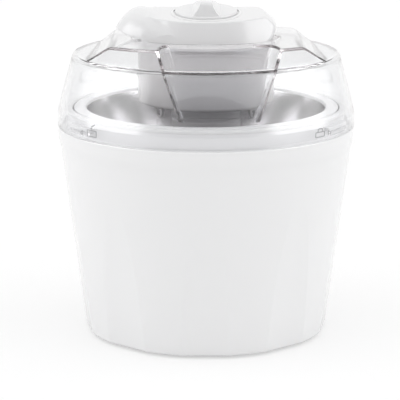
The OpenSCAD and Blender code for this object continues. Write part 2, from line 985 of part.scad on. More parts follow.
module gear_plate() {
  color("silver")
    difference() {
      translate([0, 0, plate2_z])
        cylinder(r = plate_r, h = plate2_t);
      at_cover_posts()
        translate([0, 0, plate2_z - 1])
          cylinder(r = cover_post_r + 0.4, h = plate2_t + 2, $fn = small_fn);
      at_plate_posts()
        translate([0, 0, plate2_z - 1])
          cylinder(r = plate_screw_r + 0.2, h = plate2_t + 2, $fn = small_fn);
      at_gear_pins()
        translate([0, 0, plate2_z - 1])
          cylinder(r = pin_r, h = plate2_t + 2, $fn = small_fn);
      translate([0, 0, plate2_z - 1])
        cylinder(r = shaft_r + shaft_fit, h = plate2_t + 2, $fn = 48);
      translate([motor_pos[0], motor_pos[1], plate2_z - 1]) {
        cylinder(r = boss_r, h = plate2_t + 2, $fn = small_fn);
        for (a = [0, 180])
          rotate([0, 0, a])
            translate([motor_screw_ring, 0, 0]) {
              cylinder(r = motor_screw_r + 0.2, h = plate2_t + 2, $fn = small_fn);
              cylinder(r = 2.4, h = 2.6, $fn = small_fn);
            }
      }
    }
}

module gear_plate_screws() {
  color("silver")
    at_plate_posts()
      translate([0, 0, plate2_z + plate2_t + plate_screw_head_h])
        rotate([180, 0, 0])
          screw_up(plate_screw_r, plate_screw_head_r, plate_screw_head_h, plate_screw_len);
}

module gear_pins() {
  color("silver")
    at_gear_pins()
      translate([0, 0, housing_z + 0.8])
        cylinder(r = pin_r, h = plate2_z + plate2_t - housing_z - 1, $fn = small_fn);
}

module motor_can() {
  color("silver")
    translate([motor_pos[0], motor_pos[1], plate2_z + plate2_t])
      difference() {
        cylinder(r = motor_r, h = motor_len, $fn = 48);
        translate([0, 0, motor_wall])
          cylinder(r = motor_r - motor_wall, h = motor_len, $fn = 48);
        translate([0, 0, -1])
          cylinder(r = rotor_r + 0.4, h = motor_len, $fn = small_fn);
        for (a = [0, 180])
          rotate([0, 0, a])
            translate([motor_screw_ring, 0, -1])
              cylinder(r = motor_screw_r + screw_fit, h = 2 * motor_wall, $fn = small_fn);
      }
}

module motor_end_cap() {
  color("dimgray")
    translate([motor_pos[0], motor_pos[1], plate2_z + plate2_t + motor_len])
      difference() {
        union() {
          cylinder(r = motor_r, h = cap_t, $fn = 48);
          translate([0, 0, -cap_plug])
            cylinder(r = motor_r - motor_wall - shaft_fit, h = 2 * cap_plug - cap_t, $fn = 48);
          for (x = [-motor_r / 2, motor_r / 2])
            translate([x - tag_w / 2, motor_r / 3, cap_t - 0.5])
              cube([tag_w, tag_t, tag_h]);
        }
        translate([0, 0, -cap_plug - 1])
          cylinder(r = rotor_r + shaft_fit, h = cap_plug + 2, $fn = small_fn);
      }
}

module motor_screws() {
  color("silver")
    translate([motor_pos[0], motor_pos[1], plate2_z + 0.4])
      for (a = [0, 180])
        rotate([0, 0, a])
          translate([motor_screw_ring, 0, 0])
            screw_up(motor_screw_r, 2.2, 1.2, 4.5);
}

module shaft_bush() {
  color("tan")
    translate([0, 0, nose_z + 7])
      difference() {
        cylinder(r = shaft_r + 2.5, h = gear_floor - nose_z - 8, $fn = 48);
        translate([0, 0, -1])
          cylinder(r = shaft_r + shaft_fit, h = nose_h + gear_floor, $fn = 48);
      }
}

module shaft_seal() {
  color("dimgray")
    translate([0, 0, nose_z + 0.2])
      difference() {
        cylinder(r = shaft_r + 2.5, h = 2.8, $fn = 48);
        translate([0, 0, -1])
          cylinder(r = shaft_r + shaft_fit, h = 6, $fn = 48);
      }
}

module cover_screws() {
  color("silver")
    at_cover_posts()
      translate([0, 0, cover_screw_z])
        screw_up(cover_screw_r, 2.8, 2, cover_screw_len);
}

module cord_gland() {
  color("dimgray")
    translate([0, cover_mid_r - 2.6, gland_z])
      rotate([-90, 0, 0])
        difference() {
          union() {
            translate([0, 0, -2.2])
              cylinder(r = gland_r, h = 9, $fn = 32);
            translate([0, 0, 2.7])
              cylinder(r = gland_r + 1.6, h = 1.6, $fn = 32);
            translate([0, 0, 4])
              cylinder(r1 = gland_r + 0.8, r2 = gland_r - 0.4, h = 7, $fn = 32);
          }
          translate([0, 0, -cut_len / 4])
            cylinder(r = gland_bore, h = 1.5 * cut_len, $fn = small_fn);
        }
}

// Springy loop that hangs under the housing
module release_catches() {
  color("white")
    for (a = catch_az)
      rotate([0, 0, a])
        translate([catch_ring, 0, housing_z - 0.02])
          rotate([90, 0, 90])
            linear_extrude(height = catch_t, center = true)
              difference() {
                union() {
                  translate([-catch_r, catch_r - catch_drop])
                    square([2 * catch_r, catch_drop - catch_r]);
                  translate([0, catch_r - catch_drop])
                    circle(r = catch_r, $fn = small_fn);
                }
                union() {
                  translate([-catch_hole, catch_r - catch_drop])
                    square([2 * catch_hole, catch_drop - catch_r - catch_bar]);
                  translate([0, catch_r - catch_drop])
                    circle(r = catch_hole, $fn = small_fn);
                }
              }
}

// Tall bar grip, widest at its foot, high at its front end
module knob() {
  color("white")
    on_dial()
      translate([0, 0, knob_z])
        difference() {
          union() {
            rotate_extrude()
              polygon([
                [0, 0],
                [knob_r, 0],
                [knob_r, knob_skirt - 0.6],
                [knob_r - 0.6, knob_skirt],
                [0, knob_skirt]
              ]);
            intersection() {
              rotate([90, 0, 0])
                linear_extrude(height = 3 * knob_r, center = true)
                  polygon(concat(
                    [for (m = [-1, 1]) [m * fin_foot, knob_skirt / 2]],
                    [for (i = [1 : fin_steps - 1]) fin_side(i)],
                    [[fin_top, fin_h - fin_round], [fin_top - fin_round, fin_h]],
                    [[fin_round - fin_top, fin_h], [-fin_top, fin_h - fin_round]],
                    [for (i = [fin_steps - 1 : -1 : 1]) [-fin_side(i)[0], fin_side(i)[1]]]
                  ));
              rotate([90, 0, 90])
                linear_extrude(height = 3 * knob_r, center = true)
                  polygon([
                    [3 - knob_r, knob_skirt / 2],
                    [knob_r - 3, knob_skirt / 2],
                    [knob_r - 5, fin_h * 0.27],
                    [knob_r - 9, fin_h * 0.43],
                    [10.5 - knob_r, fin_h * 0.95],
                    [7.6 - knob_r, fin_h * 0.92],
                    [6 - knob_r, fin_h * 0.77],
                    [4.6 - knob_r, fin_h * 0.4]
                  ]);
              cylinder(r = knob_r - 2, h = big);
            }
          }
          translate([0, 0, -1])
            cylinder(r = spindle_r + shaft_fit, h = knob_bore + 1, $fn = small_fn);
        }
}

module knob_spindle() {
  color("dimgray")
    on_dial()
      translate([0, 0, switch_top - 7.5])
        cylinder(r = spindle_r, h = knob_z + knob_bore - switch_top + 7.5, $fn = small_fn);
}

module motor_shaft() {
  color("silver")
    translate([motor_pos[0], motor_pos[1], tier_3])
      union() {
        cylinder(r = rotor_r, h = motor_len + 8.4, $fn = small_fn);
        translate([0, 0, plate2_z + plate2_t - tier_3 + 3])
          cylinder(r = armature_r, h = armature_h, $fn = 48);
      }
}

module pinion() {
  color("gold")
    translate([motor_pos[0], motor_pos[1], tier_3])
      rotate([0, 0, pinion_turn])
        difference() {
          linear_extrude(height = gear_t)
            gear_shape(small_teeth, mod_1);
          translate([0, 0, -1])
            cylinder(r = rotor_r + shaft_fit, h = gear_t + 2, $fn = small_fn);
        }
}

// Large gear with a small gear below it
module double_gear(mod_big, mod_small, z) {
  difference() {
    union() {
      translate([0, 0, z + gear_t + gear_gap])
        linear_extrude(height = gear_t)
          gear_shape(large_teeth, mod_big);
      translate([0, 0, z])
        linear_extrude(height = gear_t + gear_gap + 0.5)
          gear_shape(small_teeth, mod_small);
    }
    translate([0, 0, z - 1])
      cylinder(r = pin_r + pin_fit, h = 3 * gear_t, $fn = small_fn);
  }
}

module first_gear() {
  color("white")
    translate([first_pos[0], first_pos[1], 0])
      rotate([0, 0, first_turn])
        double_gear(mod_1, mod_2, tier_2);
}

module second_gear() {
  color("white")
    translate([second_pos[0], second_pos[1], 0])
      rotate([0, 0, second_turn])
        double_gear(mod_2, mod_3, tier_1);
}

module output_gear() {
  color("white")
    translate([0, 0, tier_1])
      difference() {
        linear_extrude(height = gear_t)
          gear_shape(output_teeth, mod_3);
        translate([0, 0, -1])
          cylinder(r = shaft_r + shaft_fit, h = gear_t + 2, $fn = 48);
      }
}

module drive_shaft() {
  color("silver")
    difference() {
      translate([0, 0, shaft_bottom_z])
        cylinder(r = shaft_r, h = plate2_z + plate2_t - shaft_bottom_z, $fn = 48);
      translate([shaft_r - flat_depth, -shaft_r, shaft_bottom_z - 1])
        cube([shaft_r, 2 * shaft_r, flat_h + 1]);
    }
}

module paddle_side() {
  polygon([
    [0, paddle_low_z],
    [metal_r(paddle_low_z + 6) - paddle_gap - 8, paddle_low_z],
    [metal_r(paddle_low_z + 6) - paddle_gap - 2, paddle_low_z + 6],
    [metal_r(paddle_top_z) - paddle_gap - 6, paddle_top_z - 3],
    [metal_r(paddle_top_z) - paddle_gap - 9, paddle_top_z],
    [metal_r(paddle_top_z) - paddle_gap - 14, paddle_top_z],
    [hub_r, hub_low_z + 12],
    [0, hub_low_z + 12]
  ]);
}

module paddle_window() {
  polygon([
    [paddle_bar * 0.6, paddle_low_z + paddle_bar],
    [metal_r(paddle_low_z + 6) - paddle_gap - 14, paddle_low_z + paddle_bar],
    [metal_r(paddle_top_z) - paddle_gap - 15, paddle_top_z - paddle_bar - 1],
    [hub_r + 4, hub_low_z + 1],
    [paddle_bar * 0.6, hub_low_z - 8]
  ]);
}

module paddle() {
  color("white")
    difference() {
      union() {
        rotate([90, 0, 0])
          linear_extrude(height = paddle_t, center = true)
            for (m = [0, 1])
              mirror([m, 0])
                difference() {
                  paddle_side();
                  paddle_window();
                }
        for (a = [0, 180])
          rotate([0, 0, a])
            translate([bowl_floor_r - paddle_gap - wiper_in, 0, paddle_low_z + 2])
              rotate([0, 0, wiper_turn])
                translate([-wiper_t / 2, -wiper_w / 2, 0])
                  cube([wiper_t, wiper_w, paddle_top_z - paddle_low_z - 18]);
        rotate_extrude($fn = 48)
          polygon([
            [0, hub_low_z],
            [hub_r - 4, hub_low_z],
            [hub_r - 1, hub_low_z + 8],
            [hub_r, hub_top_z - 2],
            [hub_r - 2, hub_top_z],
            [0, hub_top_z]
          ]);
      }
      difference() {
        translate([0, 0, shaft_bottom_z - 0.5])
          cylinder(r = shaft_r + shaft_fit, h = 3 * shaft_drop, $fn = 48);
        translate([shaft_r - flat_depth + shaft_fit, -2 * shaft_r, shaft_bottom_z - 1])
          cube([shaft_r, 4 * shaft_r, flat_h + 1 - shaft_fit]);
      }
    }
}

outer_casing();
casing_liner();
base_plate();
rubber_feet();
base_screws();
bowl_shell();
bowl_liner();
cooling_gel();
bowl_rim_ring();
lid();
motor_housing();
motor_cover();
dial_plate();
dial_screws();
switch_body();
gear_plate();
gear_plate_screws();
gear_pins();
motor_can();
motor_end_cap();
motor_screws();
shaft_bush();
shaft_seal();
cover_screws();
cord_gland();
release_catches();
knob();
knob_spindle();
motor_shaft();
pinion();
first_gear();
second_gear();
output_gear();
drive_shaft();
paddle();
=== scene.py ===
import bmesh
import bpy
import numpy as np
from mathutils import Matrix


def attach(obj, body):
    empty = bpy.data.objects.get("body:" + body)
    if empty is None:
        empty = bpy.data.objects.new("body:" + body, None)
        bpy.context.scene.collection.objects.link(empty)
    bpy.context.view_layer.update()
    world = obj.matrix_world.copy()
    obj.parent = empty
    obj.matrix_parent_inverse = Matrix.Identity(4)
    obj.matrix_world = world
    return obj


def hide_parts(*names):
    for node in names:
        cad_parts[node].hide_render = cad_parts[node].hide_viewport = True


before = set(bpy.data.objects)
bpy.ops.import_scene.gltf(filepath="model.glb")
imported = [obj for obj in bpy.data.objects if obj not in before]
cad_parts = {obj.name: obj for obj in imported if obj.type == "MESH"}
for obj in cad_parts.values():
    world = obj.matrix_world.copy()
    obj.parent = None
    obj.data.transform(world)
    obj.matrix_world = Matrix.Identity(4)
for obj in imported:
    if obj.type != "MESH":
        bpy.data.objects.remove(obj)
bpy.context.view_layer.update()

# ---------------------------------------------------------------- Room and camera
# A pale floor that runs on without an end under soft light from all sides. The light is weaker
# from the front and the back than from the sides, so a round white thing has a darker middle.
# Gloss mirrors a dim front and a box of light on each side, and the bowl a narrower pair of them.
mm = 0.001
white = (1.0, 1.0, 1.0, 1.0)
floor_half = 6.0
floor_colour, floor_speck = (0.90, 0.90, 0.90), (0.88, 0.88, 0.88)
seen_floor, floor_glow = (0.40, 0.40, 0.40, 1.0), 0.56
camera_place, camera_pitch = (-0.0047, -1.5163, 0.4572), np.radians(13.22)
camera_lens, camera_sensor = 178.3, 36.0

# Strengths of the light, and the spans of its direction over which one runs into the next. A
# direction has X to the right, Y to the back and Z up, each from -1 to 1.
front_light, side_light, front_span = 0.43, 1.44, (-0.95, -0.35)
back_share, back_span = 0.42, (0.0, 0.9)
dark_gap, gap_span = 0.25, (-0.92, -0.60)
box_light, box_side = 4.0, (0.40, 0.66)
box_back, box_front, box_top = (0.35, 0.05), (-0.68, -0.54), (0.60, 0.30)
inner_dark, inner_box, inner_side = 0.04, 2.6, (0.60, 0.90)
inner_back, inner_behind = 0.85, (0.70, 0.40)

scene = bpy.context.scene
scene.view_settings.view_transform = "Standard"
scene.cycles.max_bounces = 32
scene.cycles.diffuse_bounces = 6
scene.cycles.glossy_bounces = 24
scene.cycles.transmission_bounces = 32


def node_maker(owner):
    """Empties an owner's node tree and gives back a maker of nodes. The maker fills the sockets in
    their order or by name, and sets the node's own settings by name. A node as value is linked from
    its first output, and None leaves a socket as it is."""
    owner.use_nodes = True
    tree = owner.node_tree
    tree.nodes.clear()

    def add(kind, *ordered, **named):
        node = tree.nodes.new(kind)
        spaced = {name.replace("_", " "): value for name, value in named.items()}
        for key, value in [*enumerate(ordered), *spaced.items()]:
            source = value.outputs[0] if isinstance(value, bpy.types.Node) else value
            if isinstance(key, str) and key not in node.inputs:
                setattr(node, key.replace(" ", "_"), value)
            elif isinstance(source, bpy.types.NodeSocket):
                tree.links.new(source, node.inputs[key])
            elif value is not None:
                node.inputs[key].default_value = value
        return node

    return add


def eased(add, value, span, levels=(0.0, 1.0)):
    """A smooth step of a value: the first level before the span and the second one past it."""
    return add("ShaderNodeMapRange", value, *span, *levels, interpolation_type="SMOOTHSTEP")


def maths(add, operation, *values, **settings):
    """One step of arithmetic on sockets, nodes or numbers."""
    return add("ShaderNodeMath", *values, operation=operation, **settings)


world = bpy.data.worlds.new("studio")
scene.world = world
add = node_maker(world)
way = add("ShaderNodeSeparateXYZ", add("ShaderNodeTexCoord").outputs["Generated"]).outputs
ray = add("ShaderNodeLightPath").outputs
aside = maths(add, "ABSOLUTE", way["X"])
soft_light = maths(add, "MULTIPLY", eased(add, way["Y"], front_span, (front_light, side_light)),
                   eased(add, way["Y"], back_span, (1.0, back_share)))
box_place = maths(add, "MULTIPLY", eased(add, way["Y"], box_back),
                  maths(add, "MULTIPLY", eased(add, way["Y"], box_front),
                        eased(add, way["Z"], box_top)))
gleam = maths(add, "MULTIPLY_ADD", eased(add, aside, box_side, (0.0, box_light)), box_place,
              eased(add, way["Y"], gap_span, (dark_gap, 1.0)))
inner = add("ShaderNodeMix", eased(add, way["Y"], inner_behind), None, inner_back,
            eased(add, aside, inner_side, (inner_dark, inner_box)), data_type="FLOAT")
through = ray["Is Transmission Ray"]
seen = maths(add, "MAXIMUM", ray["Is Camera Ray"], through)
mirrored_inside = maths(add, "MULTIPLY", through, ray["Glossy Depth"], use_clamp=True)
mirrored = maths(add, "MAXIMUM", ray["Is Glossy Ray"], mirrored_inside)
lights = [add("ShaderNodeBackground", white, level) for level in (soft_light, 1.0, gleam, inner)]
plain = add("ShaderNodeMixShader", seen, lights[0], lights[1])
shiny = add("ShaderNodeMixShader", mirrored_inside, lights[2], lights[3])
add("ShaderNodeOutputWorld", add("ShaderNodeMixShader", mirrored, plain, shiny))


def new_finish(name):
    """A new material, its maker of nodes, and the Object coordinates that its patterns read."""
    finish = bpy.data.materials.new(name)
    add = node_maker(finish)
    return finish, add, add("ShaderNodeTexCoord").outputs["Object"]


def two_tones(add, value, first, last, span=(0.0, 1.0)):
    """A colour that runs from one tone to another while the value crosses the span."""
    ramp = add("ShaderNodeValToRGB", value)
    for element, tone, place in zip(ramp.color_ramp.elements, (first, last), span):
        element.position = place
        element.color = (*tone, 1.0)
    return ramp


floor_mesh = bpy.data.meshes.new("floor")
f = floor_half
floor_mesh.from_pydata([(-f, -f, 0), (f, -f, 0), (f, f, 0), (-f, f, 0)], [], [(0, 1, 2, 3)])
floor = bpy.data.objects.new("floor", floor_mesh)
scene.collection.objects.link(floor)
floor_finish, add, spot = new_finish("floor_paint")
mottle = add("ShaderNodeTexNoise", spot, Scale=3.0, Detail=2.0)
matt = add("ShaderNodeBsdfDiffuse", two_tones(add, mottle, floor_colour, floor_speck))
bright = add("ShaderNodeAddShader", add("ShaderNodeBsdfDiffuse", seen_floor),
             add("ShaderNodeEmission", white, floor_glow))
camera_ray = add("ShaderNodeLightPath").outputs["Is Camera Ray"]
add("ShaderNodeOutputMaterial", add("ShaderNodeMixShader", camera_ray, matt, bright))
floor_mesh.materials.append(floor_finish)

camera = bpy.data.objects.new("camera", bpy.data.cameras.new("camera"))
camera.data.lens = camera_lens
camera.data.sensor_width = camera_sensor
camera.location = camera_place
camera.rotation_euler = (np.pi / 2 - camera_pitch, 0.0, 0.0)
scene.collection.objects.link(camera)
scene.camera = camera


# ---------------------------------------------------------------- Outer casing
# The white bucket that everything stands in, injection moulded with nine pointed flats round its
# lower part, a soft flare under the seam and a plain neck with three hooks that hold the lid.
seam_z, seam_r = 163.0, 115.0
foot_z, foot_r = 2.0, 95.0
taper_z, taper_r, flare_swell = 144.0, 112.5, 0.75
flat_count, flat_depth, flat_top_z = 9, 1.8, 119.0
edge_soft = 0.12
foot_steps, foot_ease = (0.0, 0.15, 0.6, 1.1, 1.6), (1.6, 1.05, 0.45, 0.12, 0.0)
seam_ease = 0.25
neck_r, neck_in_r, neck_z = 108.0, 105.4, 175.0
hook_low, hook_high, hook_out, hook_arc = 169.2, 171.6, 3.6, 16.0
hook_azimuths = (92.0, 212.0, 332.0)

# Radius and height of the casing's inside, from the seam over the neck and down to the foot.
casing_inside = np.array([
    (seam_r - 1.0, seam_z), (neck_r + 0.6, seam_z), (neck_r, seam_z + 0.6), (neck_r, neck_z - 0.7),
    (neck_r - 0.2, neck_z - 0.2), (neck_r - 0.7, neck_z), (neck_in_r, neck_z),
    (neck_in_r, seam_z - 2.6), (112.0, seam_z - 2.7), (111.8, 156.0), (109.7, taper_z), (90.8, 9.5),
    (86.0, 8.0), (86.0, 5.5), (91.2, 5.5), (91.2, 2.2), (91.4, foot_z)])


def shade(mesh, angle):
    """Smooths a mesh and keeps the edges crisp that turn by more than an angle in degrees."""
    mesh.polygons.foreach_set("use_smooth", np.ones(len(mesh.polygons), dtype=bool))
    mesh.set_sharp_from_angle(angle=np.radians(angle))


def skin(name, *grids, smooth=32.0):
    """Makes one object of closed grids. Each grid is an array (rows, columns, 3) in millimetres
    with two flags that say whether its rows and its columns join up end to end. Every four
    neighbouring points become a face, points that fall together are merged, and the faces are
    turned outwards."""
    shape = bmesh.new()
    for points, rows_join, columns_join in grids:
        rows, columns = points.shape[:2]
        i = np.arange(rows if rows_join else rows - 1)[:, None]
        j = np.arange(columns if columns_join else columns - 1)[None, :]
        below, right = (i + 1) % rows, (j + 1) % columns
        corners = [(i, j), (i, right), (below, right), (below, j)]
        faces = np.stack([row * columns + column for row, column in corners], axis=-1)
        mesh = bpy.data.meshes.new(name)
        mesh.from_pydata((points.reshape(-1, 3) * mm).tolist(), [], faces.reshape(-1, 4).tolist())
        shape.from_mesh(mesh)
        bpy.data.meshes.remove(mesh)
    bmesh.ops.remove_doubles(shape, verts=shape.verts, dist=1e-6)
    bmesh.ops.dissolve_degenerate(shape, edges=shape.edges, dist=1e-7)
    bmesh.ops.recalc_face_normals(shape, faces=shape.faces)
    mesh = bpy.data.meshes.new(name)
    shape.to_mesh(mesh)
    shape.free()
    shade(mesh, smooth)
    piece = bpy.data.objects.new(name, mesh)
    scene.collection.objects.link(piece)
    return piece


def around(radius, height, azimuth):
    """Points of a turned grid: radius and height by row, or by row and column, at each azimuth."""
    radius, height = np.atleast_2d(radius), np.atleast_2d(height)
    azimuth = np.atleast_2d(azimuth)
    full = np.broadcast_arrays(radius * np.cos(azimuth), radius * np.sin(azimuth), height)
    return np.stack(full, axis=-1)


def with_ends(body, across):
    """Closes the two open ends of a tube: the ring at each end is drawn together in its middle. The
    rings run along the axis that is given, and the ends are added on the other one."""
    along, count = 1 - across, body.shape[across]
    middle = body.mean(axis=across, keepdims=True)
    first, last = (np.repeat(middle.take([end], along), count, across) for end in (0, -1))
    return np.concatenate([first, body, last], axis=along)


def sector_block(r1, r2, z1, z2, middle, arc, count=24):
    """A closed block between two radii, two heights and two azimuths in degrees, with its long
    edges eased by a chamfer of a tenth of its height."""
    e = 0.1 * (z2 - z1)
    r = np.array([r1, r2 - e, r2, r2, r2 - e, r1])[:, None]
    z = np.array([z1, z1, z1 + e, z2 - e, z2, z2])[:, None]
    a = np.radians(middle + arc * np.linspace(-0.5, 0.5, count))[None, :]
    return with_ends(around(r, z, a), 0), True, False


def soft_min(a, b, k):
    """The smaller of two fields, with the corner between them rounded over a width k."""
    h = np.clip(0.5 + 0.5 * (b - a) / k, 0.0, 1.0)
    return b + (a - b) * h - k * h * (1.0 - h)


def smooth_step(value, low, high):
    """Nothing below low, one above high, and between them the cubic that is level at both ends."""
    t = np.clip((value - low) / (high - low), 0.0, 1.0)
    return t * t * (3.0 - 2.0 * t)


def casing_cone(z):
    """Radius of the straight cone through the foot and the taper's end, by height."""
    return foot_r + (taper_r - foot_r) * (z - foot_z) / (taper_z - foot_z)


def casing_radius(z):
    """Radius of the casing by height: a straight cone, then a flare that swells to the seam."""
    t = np.clip((z - taper_z) / (seam_z - taper_z), 0.0, 1.0)
    swell = (seam_r - casing_cone(seam_z)) * np.sin(t * np.pi / 2) ** 2
    return casing_cone(z) + swell + flare_swell * np.sin(np.pi * t) ** 2


def flat_distance(z):
    """Distance of a pointed flat from the axis: deepest at the foot, nothing at its point."""
    t = np.clip((z - foot_z) / (flat_top_z - foot_z), 0.0, 1.0)
    return casing_cone(z) - flat_depth * (1.0 - 0.3 * t - 0.7 * t * t)


def casing_grid():
    """The casing's closed profile carried round the axis. The columns crowd along the edge of each
    flat, so that the edge stays crisp: between two flats a column's angle is stretched so that one
    column lies on the edge at every height."""
    z = np.concatenate([foot_z + np.array(foot_steps),
                        np.linspace(foot_z + 3.0, flat_top_z - 4.0, 64),
                        np.linspace(flat_top_z - 3.0, flat_top_z + 6.0, 14),
                        np.linspace(flat_top_z + 9.0, taper_z, 8),
                        np.linspace(taper_z + 1.5, seam_z - 0.5, 13), [seam_z]])
    ease = np.concatenate([foot_ease, np.zeros(len(z) - len(foot_ease) - 1), [seam_ease]])
    r = casing_radius(z)[:, None]
    d = flat_distance(z)[:, None]
    edge = np.arccos(np.clip(d / r, -1.0, 1.0))
    least = np.radians(0.5 + 8.0 * smooth_step(z, flat_top_z - 6.0, flat_top_z + 24.0))[:, None]
    edge = np.maximum(edge, least)
    half = np.pi / flat_count
    inner = np.concatenate([np.linspace(0.0, 0.93, 6), [0.965, 0.985, 1.0]])
    outer = np.concatenate([[0.012, 0.03, 0.06], np.linspace(0.14, 1.0, 7)])
    swing = np.concatenate([edge * inner, edge + (half - edge) * outer], axis=1)
    swing = np.concatenate([-swing[:, -2:0:-1], swing], axis=1)
    middles = -np.pi / 2 + 2.0 * half * np.arange(flat_count)
    azimuth = (middles[None, :, None] + swing[:, None, :]).reshape(len(z), -1)
    off = np.tile(swing, (1, flat_count))
    z = z[:, None] + 0 * off
    wall = np.where(z < flat_top_z, soft_min(r + 0 * off, d / np.cos(off), edge_soft), r)
    outside = around(wall - ease[:, None], z, azimuth)
    inside = around(casing_inside[:, :1], casing_inside[:, 1:], azimuth[-1:])
    return np.concatenate([outside, inside], axis=0), True, True


def moulded_plastic(name, colour, rough=0.3, grain=0.04, tone=0.008, coat=0.0):
    """Injection moulded plastic. A broad noise moves the colour by the tone, a middle noise moves
    the roughness, and a fine noise raises the faint grain that a polished mould leaves."""
    finish, add, spot = new_finish(name)
    broad = add("ShaderNodeTexNoise", spot, Scale=9.0, Detail=3.0)
    tint = two_tones(add, broad, [c * (1.0 - tone) for c in colour], colour, (0.3, 0.7))
    middle = add("ShaderNodeTexNoise", spot, Scale=60.0, Detail=4.0)
    rub = add("ShaderNodeMapRange", middle, To_Min=rough - 0.02, To_Max=rough + 0.02)
    fine = add("ShaderNodeTexNoise", spot, Scale=900.0, Detail=2.0)
    bump = add("ShaderNodeBump", Strength=grain, Distance=0.0002, Height=fine)
    shader = add("ShaderNodeBsdfPrincipled", Base_Color=tint, Roughness=rub, Normal=bump,
                 Coat_Weight=coat, IOR=1.5)
    add("ShaderNodeOutputMaterial", shader)
    return finish


hooks = [sector_block(neck_r - 1.0, neck_r + hook_out, hook_low, hook_high, a, hook_arc)
         for a in hook_azimuths]
casing = skin("casing_skin", casing_grid(), *hooks, smooth=24.0)
casing_white = moulded_plastic("casing_white", (0.86, 0.86, 0.865), rough=0.20, coat=0.1)
casing.data.materials.append(casing_white)
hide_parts("outer_casing")
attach(casing, "base")

# ---------------------------------------------------------------- Casing liner
# A white moulded tub inside the casing. Its flange lies on the neck and is the bright band that
# shows through the lid just under the rim of the bowl. Four bosses under its floor take the screws.
liner_outline = [(0.0, 14.0, 0.0), (88.0, 14.0, 4.0), (105.4, 149.0, 8.0), (neck_in_r, neck_z, 0.3),
                 (neck_r, neck_z, 0.3), (neck_r, 177.2, 0.9), (103.4, 177.2, 0.7),
                 (103.4, 149.0, 8.0), (86.0, 16.0, 4.0), (0.0, 16.0, 0.0)]
boss_outline = [(2.05, 5.5, 0.0), (5.0, 5.5, 0.3), (5.0, 14.5, 0.0), (2.05, 14.5, 0.0)]
boss_ring = 58.0
four_ways = (45.0, 135.0, 225.0, 315.0)


def rounded(points, steps=7):
    """Rounds the corners of an outline of (radius, height, rounding). Each corner with a rounding
    becomes the quadratic curve that is tangent to both sides at that distance from the corner."""
    p = np.array([q[:2] for q in points], dtype=float)
    cut = np.array([q[2] for q in points], dtype=float)[:, None]
    back, on = np.roll(p, 1, axis=0) - p, np.roll(p, -1, axis=0) - p
    len_back = np.linalg.norm(back, axis=1, keepdims=True)
    len_on = np.linalg.norm(on, axis=1, keepdims=True)
    reach = np.minimum(cut, 0.48 * np.minimum(len_back, len_on))
    a, b = p + back / len_back * reach, p + on / len_on * reach
    s = np.linspace(0.0, 1.0, steps)[None, :, None]
    curve = (1 - s) ** 2 * a[:, None] + 2 * s * (1 - s) * p[:, None] + s ** 2 * b[:, None]
    keep = (cut > 0) | (np.arange(steps)[None, :] == 0)
    return curve[keep]


def turned(outline, turns=240, place=(0.0, 0.0)):
    """An outline of (radius, height) turned about an upright axis at the given place. Where the
    outline starts on the axis it stays open there and closes in a pole; otherwise it is a ring."""
    azimuth = np.linspace(0.0, 2.0 * np.pi, turns, endpoint=False)
    grid = around(outline[:, :1], outline[:, 1:], azimuth) + np.array([*place, 0.0])
    return grid, bool(outline[0, 0] > 1e-6), True


def on_ring(radius, azimuths):
    """Places at one radius and several azimuths in degrees."""
    return [(radius * np.cos(np.radians(a)), radius * np.sin(np.radians(a))) for a in azimuths]


bosses = [turned(rounded(boss_outline), 32, place) for place in on_ring(boss_ring, four_ways)]
liner = skin("liner_tub", turned(rounded(liner_outline)), *bosses)
liner.data.materials.append(moulded_plastic("liner_white", (0.86, 0.86, 0.86), rough=0.3))
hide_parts("casing_liner")
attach(liner, "base")

# ---------------------------------------------------------------- Base plate, feet and screws
# A flat satin plate closes the casing from below. Four black rubber feet are pressed into it and
# four cross head screws hold it to the bosses of the liner.
foot_ring = 72.0
foot_outline = [(0.0, 0.0, 0.0), (8.0, 0.0, 0.9), (8.0, 3.7, 0.0), (2.5, 3.7, 0.0), (2.5, 7.0, 0.5),
                (0.0, 7.0, 0.0)]


def matt_rubber(name, colour, rough=0.75):
    """Rubber: a dark even colour with a dusty bloom from noise, and a fine bumpy skin."""
    finish, add, spot = new_finish(name)
    dust = add("ShaderNodeTexNoise", spot, Scale=120.0, Detail=5.0)
    tint = two_tones(add, dust, colour, [min(1.0, c * 1.5 + 0.01) for c in colour])
    fine = add("ShaderNodeTexNoise", spot, Scale=1500.0)
    bump = add("ShaderNodeBump", Strength=0.25, Distance=0.0002, Height=fine)
    shader = add("ShaderNodeBsdfPrincipled", Base_Color=tint, Roughness=rough, Normal=bump)
    add("ShaderNodeOutputMaterial", shader)
    return finish


def turned_metal(name, colour, rough=0.3, ring_scale=2600.0):
    """Machined metal: noise stretched into thin level bands leaves rings in gloss and relief."""
    finish, add, spot = new_finish(name)
    squeeze = add("ShaderNodeMapping", spot, Scale=(0.02, 0.02, 1.0))
    rings = add("ShaderNodeTexNoise", squeeze, Scale=ring_scale, Detail=3.0)
    rub = add("ShaderNodeMapRange", rings, To_Min=max(rough - 0.08, 0.02), To_Max=rough + 0.08)
    tint = two_tones(add, rings, [c * 0.9 for c in colour], colour)
    bump = add("ShaderNodeBump", Strength=0.12, Distance=0.0001, Height=rings)
    shader = add("ShaderNodeBsdfPrincipled", Base_Color=tint, Metallic=1.0, Roughness=rub,
                 Normal=bump)
    add("ShaderNodeOutputMaterial", shader)
    return finish


def dress(finish, *nodes):
    """Gives CAD nodes that keep their own shape one finish all over."""
    for node in nodes:
        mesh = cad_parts[node].data
        mesh.materials.clear()
        mesh.materials.append(finish)


